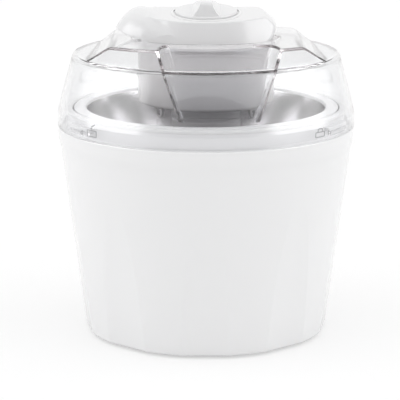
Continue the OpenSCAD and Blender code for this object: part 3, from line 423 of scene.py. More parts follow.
feet = skin("soft_feet", *[turned(rounded(foot_outline), 48, place)
                           for place in on_ring(foot_ring, four_ways)])
feet.data.materials.append(matt_rubber("foot_rubber", (0.03, 0.03, 0.032)))
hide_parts("rubber_feet")
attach(feet, "base")
screw_steel = turned_metal("screw_steel", (0.62, 0.62, 0.64), rough=0.32)
dress(moulded_plastic("base_satin", (0.78, 0.78, 0.785), rough=0.5, grain=0.3), "base_plate")
dress(screw_steel, "base_screws")

# ---------------------------------------------------------------- Freezer bowl
# A double walled bowl: a plastic shell, a cooling liquid sealed inside it, a spun aluminium liner
# and a white rim ring that joins them at the mouth.
metal_outline = [(0.0, 60.6, 0.0), (80.55, 60.6, 14.0), (93.9, 175.2, 0.0), (92.5, 175.2, 0.0),
                 (79.15, 62.0, 12.0), (0.0, 62.0, 0.0)]
rim_outline = [(92.5, 175.2, 0.0), (93.0, 177.6, 1.6), (102.2, 177.6, 1.2), (102.2, 170.6, 0.3),
               (100.6, 170.6, 0.3), (100.6, 175.2, 0.0)]
shell_outline = [(0.0, 16.0, 0.0), (83.8, 16.0, 5.0), (100.6, 168.6, 3.0), (100.6, 175.2, 0.2),
                 (98.6, 175.2, 0.2), (98.6, 168.6, 3.0), (81.8, 18.0, 4.0), (0.0, 18.0, 0.0)]

bowl_metal = skin("bowl_metal", turned(rounded(metal_outline, 12), 300))
bowl_metal.data.materials.append(turned_metal("spun_aluminium", (0.86, 0.85, 0.86), rough=0.12))
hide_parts("bowl_liner")
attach(bowl_metal, "base")
bowl_rim = skin("bowl_rim", turned(rounded(rim_outline), 300))
bowl_rim.data.materials.append(moulded_plastic("rim_white", (0.85, 0.85, 0.855), rough=0.25))
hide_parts("bowl_rim_ring")
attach(bowl_rim, "base")
bowl_outside = skin("bowl_outside", turned(rounded(shell_outline)))
bowl_outside.data.materials.append(moulded_plastic("shell_white", (0.82, 0.82, 0.83), 0.4, 0.2))
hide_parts("bowl_shell")
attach(bowl_outside, "base")
blue_liquid = moulded_plastic("blue_liquid", (0.35, 0.55, 0.72), rough=0.15, grain=0.0, tone=0.1)
dress(blue_liquid, "cooling_gel")

# ---------------------------------------------------------------- Clear lid
# One moulding of clear plastic: an upright skirt with three lugs, a cone, and a raised crown with a
# flat top and two sloping sides. A chute for ingredients is let into its front, and two plain
# padlocks with arrows lie on the skirt as thin raised strokes.
skirt_r, skirt_in_r, skirt_low, skirt_top = 115.0, 112.6, 163.3, 174.5
shoulder_r, shoulder_z, corner_z, inner_corner_r = 103.8, 219.0, 216.0, 101.4
crown_r, crown_z, crown_half = 100.5, 233.4, 71.5
crown_ref_y, crown_tilt, crown_slope = -70.63, 0.045, 0.734
lid_wall = 2.4
recess_r, recess_z, hole_r = 55.8, 227.3, 53.2
lug_in, lug_low, lug_high, lug_arc = 3.4, 166.2, 168.8, 14.0
chute_x, chute_half, chute_lean, chute_mid = 9.5, 42.5, 0.28, 228.0
chute_low, chute_top, chute_back = 177.0, 240.0, -55.8
chute_front, chute_front_lean = -99.7, 0.68
chute_wall, bow_z = 2.0, 207.0
chute_ease, chute_corner_w, chute_corner_d = 3.0, 7.0, 26.0
corner_from, corner_full = 200.0, 216.0
far_below, far_above = 150.0, 260.0


def crown_top(x, y, soft=1.6):
    """Height of the lid's top: the flat top and the two sloping sides, met with a soft edge, and
    never below the shelf at the shoulder."""
    flat = crown_z - crown_tilt * (y - crown_ref_y)
    side = flat - crown_slope * (np.abs(x) - crown_half)
    return -soft_min(-soft_min(flat, side, soft), -(shoulder_z + 0 * x), 0.8)


def lid_grid(turns=720):
    """The lid's closed profile round the axis: up the outside of the skirt and cone, over the
    shelf, up the crown wall, in across the top, down into the recess, and back along the inner
    surface to the lugs."""
    a = np.linspace(0.0, 2.0 * np.pi, turns, endpoint=False)[None, :]
    ones = np.ones_like(a)

    def column(values):
        """One value for each row, the same at every azimuth."""
        return np.array(values)[:, None] * ones

    def rings(*pairs):
        """Rows of one radius and one height each."""
        return column([p[0] for p in pairs]), column([p[1] for p in pairs])

    def cone(foot, head, share):
        """Rows on the straight slope from the skirt's top up to the corner of the shoulder."""
        level = skirt_top + (corner_z - skirt_top) * share
        return column(foot + (head - foot) * share), column(level)

    def top(r):
        """Height of the lid's top at a radius, at every azimuth."""
        return crown_top(r * np.cos(a), r * np.sin(a))

    skirt = rings((skirt_in_r + 0.1, skirt_low), (skirt_r - 0.4, skirt_low),
                  (skirt_r - 0.1, skirt_low + 0.1), (skirt_r, skirt_low + 0.4),
                  (skirt_r, skirt_top - 1.2), (skirt_r - 0.05, skirt_top - 0.5),
                  (skirt_r - 0.2, skirt_top + 0.3))
    shelf = rings((103.75, 216.3), (103.5, 217.0), (103.0, 217.8), (102.4, 218.4), (101.7, 218.8),
                  (101.1, shoulder_z))
    rise = column([0.0, 0.03, 0.08, 0.3, 0.6, 0.88, 0.96, 0.99, 1.0])
    pull = column([-0.25, -0.1, 0.0, 0.0, 0.0, 0.0, 0.08, 0.3, 0.8])
    wall = crown_r - pull, shoulder_z + (top(crown_r) - shoulder_z) * rise
    r = column([*np.linspace(crown_r - 1.4, 60.0, 44), 58.5, 57.4, 56.7])
    roof = r, top(r)
    brim = recess_r + column([0.45, 0.12, 0.0]), top(recess_r) - column([0.04, 0.2, 0.6])
    recess = rings((recess_r, recess_z), (hole_r, recess_z), (hole_r, recess_z - lid_wall),
                   (recess_r + 1.4, recess_z - lid_wall))
    r = column([recess_r + lid_wall, *np.linspace(60.0, crown_r - lid_wall, 24)])
    ceiling = r, np.maximum(top(r), shoulder_z) - lid_wall
    inner_shelf = rings((crown_r - lid_wall, shoulder_z - lid_wall), (100.2, 216.5), (100.9, 216.0),
                        (101.3, 215.4))
    # Three lugs: the inner wall steps in where the azimuth is within half an arc of a hook's.
    away = np.abs((np.degrees(a) - hook_azimuths[0] + 60.0) % 120.0 - 60.0)
    lug = np.clip((lug_arc / 2 + 0.25 - away) / 0.5, 0.0, 1.0)
    lugs = (skirt_in_r - column([0.0, 0.0, 1.0, 1.0, 0.0, 0.0]) * lug_in * lug,
            column([172.0, lug_high + 0.1, lug_high, lug_low, lug_low - 0.1, 164.5]))
    outside = cone(skirt_r, shoulder_r, np.linspace(0.04, 0.97, 14))
    inside = cone(skirt_in_r, inner_corner_r, np.linspace(0.94, 0.02, 10))
    radius, height = zip(skirt, outside, shelf, wall, roof, brim, recess, ceiling, inner_shelf,
                         inside, lugs)
    return around(np.concatenate(radius), np.concatenate(height), a), True, True


def chute_solid(grow, low, high, rows=40):
    """The chute as a closed funnel: its width grows with height, its back is upright and its front
    leans out. Each level is a walk round a rectangle with long elliptic back corners and eased
    front ones. No point of it lies outside a circle round the lid's axis that touches the front's
    middle, so the front is nearly flat at the foot and bows with the crown at the top. The walk has
    points close to both ends of each flat side, so that the sides shade flat."""
    z = np.linspace(low, high, rows)[:, None]
    half = chute_half + grow + (z - chute_mid) * chute_lean
    lean = np.where(z > bow_z, chute_front_lean, chute_lean)
    bow = grow - chute_front + (bow_z - shoulder_z) * chute_front_lean + (z - bow_z) * lean
    front = chute_front - grow - (z - shoulder_z) * chute_front_lean
    back = chute_back + grow + 0 * z
    lift = smooth_step(z, corner_from, corner_full)
    ease = chute_ease + grow
    wide = ease + (chute_corner_w - chute_ease) * lift
    deep = ease + (chute_corner_d - chute_ease) * lift
    q = np.linspace(0.0, np.pi / 2, 13)[None, :]
    fall, rise = 1.0 - np.cos(q), 1.0 - np.sin(q)
    right, left = chute_x + half, chute_x - half
    span = np.linspace(-1.0, 1.0, 41)[None, 1:-1]
    near = np.array([[0.04, 0.3, 0.7, 0.96]])
    side_in, side_out = back - deep, front + ease
    x = np.concatenate([right - wide * fall, right - wide + (left - right + 2 * wide) * near,
                        left + wide * fall[:, ::-1], left + 0 * near, left + ease * fall,
                        chute_x + (half - ease) * span, right - ease * fall[:, ::-1],
                        right + 0 * near], axis=1)
    y = np.concatenate([back - deep * rise, back + 0 * near, back - deep * rise[:, ::-1],
                        side_in + (side_out - side_in) * near, front + ease * rise,
                        front + 0 * span, front + ease * rise[:, ::-1],
                        side_out + (side_in - side_out) * near], axis=1)
    blend = 0.02 + 2.5 * np.clip((bow_z - z) / 7.0, 0.0, 1.0)
    y = -soft_min(-y, np.sqrt(np.maximum(bow ** 2 - x ** 2, 1.0)), blend)
    body = np.stack([x, y, z + 0 * x], axis=-1)
    cap = np.stack([chute_x + 0 * z, (front + back) / 2, z], axis=-1)
    first, last = np.repeat(cap[:1], x.shape[1], 1), np.repeat(cap[-1:], x.shape[1], 1)
    return np.concatenate([first, body, last], axis=0), False, True


def lid_envelope(inset=0.4, turns=360):
    """The lid as a filled block, drawn in by a little: what the chute's walls may not pass."""
    a = np.linspace(0.0, 2.0 * np.pi, turns, endpoint=False)[None, :]
    wall_r, shelf_z = crown_r - inset, shoulder_z - inset
    wall = np.maximum(crown_top(wall_r * np.cos(a), wall_r * np.sin(a)), shoulder_z) - inset
    roof_r = np.linspace(wall_r, 0.0, 40)[1:, None] + 0 * a
    roof = crown_top(roof_r * np.cos(a), roof_r * np.sin(a)) - inset
    r = np.array([0.0, 113.0, 113.0, shoulder_r - inset, 101.0, wall_r, wall_r])[:, None] + 0 * a
    z = np.array([170.0, 170.0, skirt_top, corner_z - inset, shelf_z, shelf_z])[:, None] + 0 * a
    return around(np.concatenate([r, roof_r]), np.concatenate([z, wall, roof]), a), False, True


def combine(piece, tool, operation):
    """Joins, cuts or crosses a piece with a closed tool by a Boolean, and drops the tool."""
    bpy.context.view_layer.objects.active = piece
    step = piece.modifiers.new(operation.lower(), "BOOLEAN")
    step.operation = operation
    step.object = tool
    step.solver = "MANIFOLD"
    with bpy.context.temp_override(object=piece, active_object=piece):
        bpy.ops.object.modifier_apply(modifier=step.name)
    bpy.data.objects.remove(tool)


def settle(piece, finish, smooth=30.0):
    """Smooths a piece that Booleans have cut, keeps its crisp edges, and gives it one finish."""
    shade(piece.data, smooth)
    piece.data.materials.clear()
    piece.data.materials.append(finish)


def clear_plastic(name, colour, rough=0.03):
    """Clear moulded plastic: light passes with a faint tint, a long way through it is darker, and
    the gloss wanders a little. Shadow rays and soft light go straight through it, so that what it
    covers is lit."""
    finish, add, spot = new_finish(name)
    flow = add("ShaderNodeTexNoise", spot, Scale=14.0, Detail=2.0)
    tint = two_tones(add, flow, [c * 0.99 for c in colour], colour)
    rub = add("ShaderNodeMapRange", flow, To_Min=rough * 0.6, To_Max=rough * 1.4)
    ripple = add("ShaderNodeTexNoise", spot, Scale=30.0, Detail=1.0)
    bump = add("ShaderNodeBump", Strength=0.03, Distance=0.0005, Height=ripple)
    shader = add("ShaderNodeBsdfPrincipled", Base_Color=tint, Roughness=rub, Normal=bump,
                 Transmission_Weight=1.0, IOR=1.49)
    open_way = add("ShaderNodeBsdfTransparent", (0.97, 0.97, 0.975, 1.0))
    ray = add("ShaderNodeLightPath").outputs
    soft_ray = maths(add, "MAXIMUM", ray["Is Shadow Ray"], ray["Is Diffuse Ray"])
    depth = add("ShaderNodeVolumeAbsorption", (0.56, 0.48, 0.50, 1.0), 9.0)
    both = add("ShaderNodeMixShader", soft_ray, shader, open_way)
    add("ShaderNodeOutputMaterial", both, depth)
    return finish


lid = skin("clear_lid", lid_grid())
funnel = skin("funnel", chute_solid(chute_wall, chute_low, chute_top))
combine(funnel, skin("envelope", lid_envelope()), "INTERSECT")
combine(lid, funnel, "UNION")
combine(lid, skin("chute_room", chute_solid(0.0, chute_low - 2.0, chute_top + 4.0)), "DIFFERENCE")
housing_room = np.array([(0.0, far_below), (hole_r, far_below), (hole_r, recess_z),
                         (recess_r, recess_z), (recess_r, far_above), (0.0, far_above)])
combine(lid, skin("housing_room", turned(housing_room, 360)), "DIFFERENCE")
settle(lid, clear_plastic("clear_lid_plastic", (0.97, 0.975, 0.98)), 28.0)
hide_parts("lid")
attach(lid, "lid_unit")


def skirt_stroke(a1, z1, a2, z2, width=0.7, up=0.16, steps=8):
    """A thin closed strip moulded on the skirt from one place to another, each given by its azimuth
    in degrees and its height. Its section is a flat box that follows the skirt's radius."""
    t = np.linspace(0.0, 1.0, steps)[None, :]
    along, rise = np.radians(a2 - a1) * skirt_r, z2 - z1
    length = np.hypot(along, rise)
    side = np.array([-0.5, 0.5, 0.5, -0.5])[:, None] * width
    arc = np.radians(a1) * skirt_r + along * t - side * rise / length
    z = z1 + rise * t + side * along / length
    r = skirt_r - np.maximum(z - skirt_top, 0.0) * 0.27 + np.array([-0.1, -0.1, up, up])[:, None]
    return with_ends(around(r, z, arc / skirt_r), 0), True, False


def strokes(*places):
    """The strokes of a line through several places on the skirt."""
    return [(*a, *b) for a, b in zip(places, places[1:])]


open_lock = (strokes((219.9, 167.4), (225.0, 167.4), (225.0, 172.0), (219.9, 172.0), (219.9, 167.4))
             + strokes((222.2, 169.7), (222.8, 169.7))
             + strokes((222.0, 172.2), (222.6, 175.4), (224.2, 176.4)))
shut_lock = (strokes((314.6, 167.4), (319.6, 167.4), (319.6, 171.0), (314.6, 171.0), (314.6, 167.4))
             + strokes((315.8, 171.0), (316.0, 173.4), (318.2, 173.4), (318.4, 171.0)))
pointers = (strokes((215.4, 168.2), (216.8, 170.6), (216.9, 167.4), (215.4, 168.2))
            + strokes((323.6, 168.4), (322.2, 170.8), (322.1, 167.6), (323.6, 168.4)))
marks = skin("lock_marks", *[skirt_stroke(*s) for s in open_lock + shut_lock + pointers])
marks.data.materials.append(moulded_plastic("mark_grey", (0.40, 0.40, 0.41), 0.5, 0.3, 0.1))
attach(marks, "lid_unit")

# ---------------------------------------------------------------- Motor housing
# A white moulded drum that sits in the hole of the lid and carries the motor and the gears. Its
# flange rests in the lid's recess, a deck covers its front, and a ribbed nose holds the shaft.
housing_r, housing_in_r = 52.7, 50.5
housing_z, floor_z, cover_z = 181.0, 183.2, 229.3
nose_r, nose_z, nose_rib = 27.0, 153.0, 0.7
front_mid_y, deck_r = 36.0, 71.2
lip_r, lip_in_r = 55.5, 53.0
bearing_r, bearing_z, well_r = 10.0, 182.2, 23.8
seal_r, shaft_hole_r = 7.5, 6.0
second_at, first_at = (-15.094, -26.144), (-29.866, -8.541)
gear_post_r, gear_post_z, gear_pin_r = 3.2, 185.8, 1.5
plate_post_r, plate_post_z, plate_post_bore = 3.6, 203.2, 1.25
plate_post_ring, plate_post_az = 45.5, (25.0, 112.0, 290.0)
cover_post_r, cover_post_bore, cover_head_r, cover_head_z = 4.4, 1.8, 3.0, 216.0
cover_post_ring, cover_post_az = 45.6, (75.0, 150.0, 345.0)


def deck_reach(azimuth):
    """How far out the deck's opening reaches along each azimuth: to the bore of the drum, or to the
    circle that the cover's front follows where that is nearer the axis."""
    s = front_mid_y * np.sin(azimuth)
    return np.minimum(housing_in_r, s + np.sqrt(s * s - front_mid_y ** 2 + deck_r ** 2))


def housing_grid(turns=360):
    """The drum's closed profile round the axis. The rows of the deck follow the deck's reach."""
    a = np.linspace(0.0, 2.0 * np.pi, turns, endpoint=False)
    n, r, z = nose_r - nose_rib, nose_r, nose_z
    flange_z = cover_z - 2.0
    grooves = [(r, z + 6.0, 0.3), (n, z + 6.5, 0.3), (n, z + 8.5, 0.3), (r, z + 9.0, 0.3),
               (r, z + 14.0, 0.3), (n, z + 14.5, 0.3), (n, z + 16.5, 0.3), (r, z + 17.0, 0.3)]
    profile = [(seal_r, z, 0.0), (r, z, 1.6), *grooves, (r, housing_z, 1.4),
               (housing_r, housing_z, 2.8), (housing_r, flange_z, 0.0), (lip_r, flange_z, 0.0),
               (lip_r, cover_z, 0.4), (lip_in_r, cover_z, 0.0)]
    outer = rounded(profile, 5)[:-1]
    inner = np.array([(housing_in_r, flange_z), (housing_in_r, floor_z), (well_r, floor_z),
                      (well_r, z + 2.5), (bearing_r, z + 2.5), (bearing_r, bearing_z),
                      (seal_r, bearing_z), (seal_r, z + 7.0), (shaft_hole_r, z + 7.0),
                      (shaft_hole_r, z + 3.0), (seal_r, z + 3.0), (seal_r, z)])
    reach = deck_reach(a)[None, :]
    ones = np.ones_like(reach)
    radius = np.concatenate([outer[:, :1] * ones, reach, reach, inner[:, :1] * ones])
    height = np.concatenate([outer[:, 1:] * ones, cover_z * ones, flange_z * ones,
                             inner[:, 1:] * ones])
    return around(radius, height, a[None, :]), True, True


def post(place, radius, low, high, turns=32):
    """A closed upright post or drill with flat ends: a box outline turned about its own axis."""
    return turned(np.array([(0.0, low), (radius, low), (radius, high), (0.0, high)]), turns, place)


gear_posts = [second_at, first_at]
plate_posts = on_ring(plate_post_ring, plate_post_az)
cover_posts = on_ring(cover_post_ring, cover_post_az)
housing = skin("motor_drum", housing_grid())
posts = [*[post(p, gear_post_r, floor_z - 1.0, gear_post_z) for p in gear_posts],
         *[post(p, plate_post_r, floor_z - 1.0, plate_post_z) for p in plate_posts],
         *[post(p, cover_post_r, floor_z - 1.0, cover_z) for p in cover_posts]]
drills = [*[post(p, gear_pin_r, housing_z + 0.8, 190.0) for p in gear_posts],
          *[post(p, plate_post_bore, plate_post_z - 7.0, plate_post_z + 3.0) for p in plate_posts],
          *[post(p, cover_post_bore, cover_head_z - 1.0, far_above) for p in cover_posts],
          *[post(p, cover_head_r, housing_z - 1.0, cover_head_z) for p in cover_posts]]
combine(housing, skin("posts", *posts), "UNION")
combine(housing, skin("drills", *drills), "DIFFERENCE")
# The drum and its nose are one white plastic: the drum's colour is darkened as painted shade, and
# the nose's is made paler as painted light.
housing_painted_shade = moulded_plastic("housing_painted_shade", (0.67, 0.655, 0.66), rough=0.18)
settle(housing, housing_painted_shade)
housing.data.materials.append(moulded_plastic("nose_painted_light", (0.92, 0.91, 0.92), rough=0.2))

# Faces lower than the drum's underside are the nose. It is the same white plastic as the drum, and
# its paler copy of that white is painted light beside the drum's painted shade.
centres = np.empty(3 * len(housing.data.polygons))
housing.data.polygons.foreach_get("center", centres)
painted_light_faces = centres[2::3] < (housing_z - 0.5) * mm
housing.data.polygons.foreach_set("material_index", painted_light_faces.astype(np.int32))
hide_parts("motor_housing")
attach(housing, "lid_unit")

# ---------------------------------------------------------------- Release catches
# Two springy loops of the same white plastic, moulded on the underside of the housing near its
# edge. A finger pulls one to free the drum from the lid.
catch_ring, catch_az = 47.6, (222.0, 318.0)
catch_r, catch_hole, catch_drop, catch_bar, catch_t = 3.8, 2.0, 7.8, 1.5, 2.0


def catch_grid(azimuth, steps=20):
    """A flat loop with a round foot: its outer and inner edges are the same closed walk, down one
    side, round a half circle and up the other, and eight rows wrap the strip between them."""
    s = np.linspace(-np.pi, 0.0, steps)
    low = catch_r - catch_drop
    lift = np.linspace(0.0, 1.0, 5)[:-1]

    def walk(half, top):
        """One edge of the loop, from its half width and the height of its top."""
        left = np.stack([np.full(4, -half), top + (low - top) * lift], -1)
        foot = np.stack([half * np.cos(s), low + half * np.sin(s)], -1)
        right = np.stack([np.full(4, half), top + (low - top) * lift[::-1]], -1)
        over = np.stack([half - 2 * half * np.array([0.25, 0.5, 0.75]), np.full(3, top)], -1)
        return np.concatenate([left, foot, right, over])

    out_edge, in_edge = walk(catch_r, 0.0), walk(catch_hole, -catch_bar)
    inward = np.array([0.0, 0.16, 0.84, 1.0, 1.0, 0.84, 0.16, 0.0])[:, None, None]
    e = 0.35
    depth = np.array([-1 + e, -1, -1, -1 + e, 1 - e, 1, 1, 1 - e])[:, None] * catch_t / 2
    flat = out_edge + (in_edge - out_edge) * inward
    a = np.radians(azimuth)
    x = (catch_ring + depth) * np.cos(a) - flat[..., 0] * np.sin(a)
    y = (catch_ring + depth) * np.sin(a) + flat[..., 0] * np.cos(a)
    return np.stack([x, y, housing_z - 0.02 + flat[..., 1]], axis=-1), True, True


catches = skin("pull_loops", *[catch_grid(a) for a in catch_az])
# The loops take the drum's darkened white, which is painted shade.
catches.data.materials.append(housing_painted_shade)
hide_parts("release_catches")
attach(catches, "lid_unit")

# ---------------------------------------------------------------- Motor cover
# The white domed cap of the drum, moulded in one with a pointed thumb grip on its left. Its front
# is a flatter face, its top slopes down to the front, and the dial is let into it.
cover_mid_z, cover_mid_r = 240.0, 54.0
cover_bulge, cover_shoulder, cover_shoulder_h = 2.6, 4.0, 6.0
front_low_r, front_lean = 74.0, 5.0 / 24.0
cover_top_z, ridge_y, top_fall, back_fall = 251.5, 15.0, 0.104, 0.2
leaf_x, leaf_y, leaf_r = -30.0, 14.8, 44.5
crest_x, crest_z, crest_fall, beak_foot, beak_power = -50.3, 253.6, (0.041, 0.031), 231.0, 2.3
lip_near, lip_far = (-61.5, 234.6, -0.39, -0.921), (-70.6, 236.3, -0.245, -0.970)
cover_wall, cap_bore_r, cap_bore_z = 2.2, 1.55, 236.3
cap_heart, room_heart = (-40.0, 0.5, 238.0), (0.0, 8.0, 236.0)
gland_z, gland_hole_r = 238.0, 4.05
dial_y, dial_z, dial_turn = -5.0, 249.38, np.radians(5.9)
dial_r, dial_sink, dial_hole_r = 27.0, 0.8, 3.5


def soft_max(a, b, k):
    """The larger of two fields, with the corner between them rounded over a width k."""
    return -soft_min(-a, -b, k)


def dome_field(p, k_side=1.0, k_top=1.1):
    """Below nothing inside the dome: the barrel of the drum, the leaning front face and the sloping
    top, each as a distance, met with soft edges."""
    x, y, z = p[..., 0], p[..., 1], p[..., 2]
    low = cover_bulge * (np.minimum(z - cover_mid_z, 0.0) / 10.7) ** 2
    high = cover_shoulder * (np.maximum(z - cover_mid_z, 0.0) / cover_shoulder_h) ** 1.5
    barrel = np.hypot(x, y) - (cover_mid_r - low - high)
    face = np.hypot(x, y - front_mid_y) - (front_low_r - front_lean * (z - cover_z + 1.0))
    slope = np.where(y < ridge_y, top_fall * (ridge_y - y), back_fall * (y - ridge_y))
    top = z - (cover_top_z - slope)
    return soft_max(soft_max(barrel, face, k_side), top, k_top)


def half_plane(p, x0, z0, nx, nz):
    """Distance past a plane that runs along Y through (x0, z0) with the normal (nx, nz)."""
    return (p[..., 0] - x0) * nx + (p[..., 2] - z0) * nz


def near_lid(p, gap, radius):
    """Above nothing past a radius where a point is less than a gap above the lid's crown."""
    over_lid = crown_z + gap - crown_tilt * (p[..., 1] - crown_ref_y) - p[..., 2]
    return np.minimum(np.hypot(p[..., 0], p[..., 1]) - radius, over_lid)


def beak_field(p):
    """Below nothing inside the thumb grip: a leaf seen from above whose section across is a
    superellipse. Its crest falls away from its highest place along a parabola to each side, two
    planes cut a crisp lip below, and it is kept clear of the lid's crown."""
    x, y, z = p[..., 0], p[..., 1], p[..., 2]
    leaf = np.maximum(np.hypot(x - leaf_x, y - leaf_y), np.hypot(x - leaf_x, y + leaf_y)) - leaf_r
    off = x - crest_x
    tall = np.maximum(crest_z - np.where(off < 0, *crest_fall) * off ** 2 - beak_foot, 0.5)
    half = np.maximum(np.sqrt(np.maximum(leaf_r ** 2 - (x - leaf_x) ** 2, 0.0)) - leaf_y, 0.5)
    reach = ((np.abs(y) / half) ** beak_power
             + (np.maximum(z - beak_foot, 0.0) / tall) ** beak_power) ** (1 / beak_power)
    profile = (reach - 1.0) * np.minimum(half, tall)
    under = soft_max(half_plane(p, *lip_near), half_plane(p, *lip_far), 1.0)
    return np.maximum(soft_max(np.maximum(profile, leaf), under, 0.5), near_lid(p, 0.65, 55.1))


def cover_field(p):
    """Below nothing inside the cap: the dome with the grip blended on, clear of the lid's crown."""
    return np.maximum(soft_min(dome_field(p), beak_field(p), 5.0), near_lid(p, 0.6, 55.2))


def ray_grid(field, centre, azimuths, slopes, reach=95.0, steps=30):
    """A closed grid of the surface where a field is nothing. On the ray from the centre to each
    azimuth and slope the place is halved in on, all rays at once. The first and last rows are
    poles."""
    a, s = np.meshgrid(azimuths, slopes)
    way = np.stack([np.cos(s) * np.cos(a), np.cos(s) * np.sin(a), np.sin(s)], axis=-1)
    near, far = np.zeros(a.shape), np.full(a.shape, reach)
    for _ in range(steps):
        middle = (near + far) / 2
        outside = field(np.array(centre) + way * middle[..., None]) > 0
        far, near = np.where(outside, middle, far), np.where(outside, near, middle)
    points = np.array(centre) + way * near[..., None]
    points[0], points[-1] = points[0].mean(axis=0), points[-1].mean(axis=0)
    return points, False, True


def crowded(count, low, high, bumps):
    """Angles from low to high, spread so that each bump of (place, width, weight) draws them
    closer: the running sum of the weights is cut in even parts."""
    t = np.linspace(low, high, 4000)
    weight = 1.0 + sum(w * np.exp(-((t - np.radians(m)) / np.radians(d)) ** 2) for m, d, w in bumps)
    total = np.concatenate([[0.0], np.cumsum((weight[1:] + weight[:-1]) / 2)])
    return np.interp(np.linspace(0.0, total[-1], count), total, t)


cap_azimuths = crowded(481, -np.pi, np.pi, [(-25.0, 7.0, 3.0), (-90.0, 16.0, 0.6)])[:-1]
cap_slopes = crowded(196, -np.pi / 2, np.pi / 2,
                     [(8.0, 16.0, 3.0), (-12.0, 12.0, 2.0), (40.0, 14.0, 1.0)])
cover = skin("motor_cap", ray_grid(cover_field, cap_heart, cap_azimuths, cap_slopes))


def inner_field(p):
    """Below nothing in the room under the dome, drawn in by the wall and open at the seat."""
    return dome_field(p, 0.6, 1.0) + cover_wall


room_azimuths = np.linspace(0.0, 2.0 * np.pi, 161)[:-1]
room_slopes = np.linspace(-np.pi / 2, np.pi / 2, 90)
cap_posts = [post(p, cover_post_r, 180.0, 262.0) for p in cover_posts]
cap_drills = [post(p, cap_bore_r, 220.0, cap_bore_z) for p in cover_posts]
hollow = skin("cap_room", ray_grid(inner_field, room_heart, room_azimuths, room_slopes))
combine(hollow, skin("cap_posts", *cap_posts), "DIFFERENCE")
combine(cover, hollow, "DIFFERENCE")
combine(cover, skin("below_seat", post((0.0, 0.0), 120.0, 200.0, cover_z, 64)), "DIFFERENCE")
combine(cover, skin("cap_drills", *cap_drills), "DIFFERENCE")


def on_dial(grid):
    """Carries a closed grid from the dial's own frame to its place on the sloping top."""
    points, *joins = grid
    c, s = np.cos(dial_turn), np.sin(dial_turn)
    y, z = points[..., 1] * c - points[..., 2] * s, points[..., 1] * s + points[..., 2] * c
    return np.stack([points[..., 0], y + dial_y, z + dial_z], axis=-1), *joins


dial_well_r = dial_r + 0.02
dial_well = np.array([(0.0, -20.0), (dial_hole_r, -20.0), (dial_hole_r, -dial_sink),
                      (dial_well_r, -dial_sink), (dial_well_r, 20.0), (0.0, 20.0)])
combine(cover, skin("dial_well", on_dial(turned(dial_well, 180))), "DIFFERENCE")


def lying(outline, turns=48):
    """An outline of (radius, depth) turned about the gland's line, which runs level to the back."""
    points, *joins = turned(outline, turns)
    return np.stack([points[..., 0], points[..., 2], gland_z - points[..., 1]], axis=-1), *joins


gland_hole = np.array([(0.0, 46.0), (gland_hole_r, 46.0), (gland_hole_r, 70.0), (0.0, 70.0)])
combine(cover, skin("gland_hole", lying(gland_hole)), "DIFFERENCE")
settle(cover, moulded_plastic("cap_white", (0.77, 0.77, 0.775), rough=0.17), 34.0)
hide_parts("motor_cover")
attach(cover, "lid_unit")

# ---------------------------------------------------------------- Cord gland
# A soft grey rubber bush pressed into the back of the cap, with a collar, two grooves and a narrow
# end. It saves a cord from sharp bends where it leaves the motor unit.
gland_outline = [(2.4, 49.2, 0.0), (4.0, 49.2, 0.3), (4.0, 54.1, 0.0), (5.6, 54.1, 0.5),
                 (5.6, 55.7, 0.5), (4.8, 55.7, 0.2), (4.6, 57.1, 0.0), (3.9, 57.4, 0.2),
                 (3.9, 58.2, 0.2), (4.3, 58.5, 0.2), (4.2, 59.9, 0.2), (3.6, 60.2, 0.2),
                 (3.6, 61.0, 0.2), (3.9, 61.2, 0.2), (3.7, 62.4, 0.5), (2.4, 62.4, 0.3)]
gland = skin("cord_bush", lying(rounded(gland_outline, 4), 64))
gland.data.materials.append(matt_rubber("gland_rubber", (0.55, 0.55, 0.56), rough=0.55))
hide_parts("cord_gland")
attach(gland, "lid_unit")

# ---------------------------------------------------------------- Dial
# A white disc set flush in the cap and held by two screws, with a raised rim and moulded grey ticks
# that the knob's fin points at. The knob turns a switch that hangs under it.
tick_azimuths, tick_in_r, tick_out_r, tick_half_w = (55.0, 90.0, 125.0), 24.6, 26.0, 0.35
tick_low, tick_top = 0.5, 0.86
arc_azimuths, arc_in_r, arc_out_r, arc_span, arc_top = (17.0, 163.0), 24.75, 25.5, 22.0, 0.9
dial_screw_x, dial_head_r, dial_screw_r = (-7.2, 7.2), 2.4, 1.3
dial_outline = [(dial_hole_r, -dial_sink, 0.0), (dial_r, -dial_sink, 0.0), (dial_r, 0.3, 0.0),
                (26.5, 0.8, 0.3), (25.0, 0.8, 0.2), (24.6, 0.4, 0.2), (dial_hole_r, 0.4, 0.1)]
dial = skin("dial_disc", on_dial(turned(rounded(dial_outline, 5), 240)))
dial_drills = [on_dial(post((x, 0.0), *size))
               for size in ((dial_head_r, -0.1, 3.0), (dial_screw_r, -3.0, 1.0))
               for x in dial_screw_x]
combine(dial, skin("dial_drills", *dial_drills), "DIFFERENCE")
settle(dial, moulded_plastic("dial_white", (0.82, 0.82, 0.82), rough=0.3))


def tick_block(azimuth, r1, r2, half, z1, z2):
    """A small closed block that lies along a radius: a walk round its four corners at each height,
    drawn together in the middle at both ends and drawn in a little at the top."""
    a = np.radians(azimuth)
    middle = (r1 + r2) / 2
    keep = np.array([0.0, 1.0, 1.0, 0.9, 0.0])[:, None]
    r = middle + (np.array([r1, r2, r2, r1]) - middle) * keep
    w = np.array([-half, -half, half, half]) * keep
    x, y = r * np.cos(a) - w * np.sin(a), r * np.sin(a) + w * np.cos(a)
    z = np.array([z1, z1, z2 - 0.02, z2, z2])[:, None] + 0 * r
    return np.stack([x, y, z], axis=-1), False, True


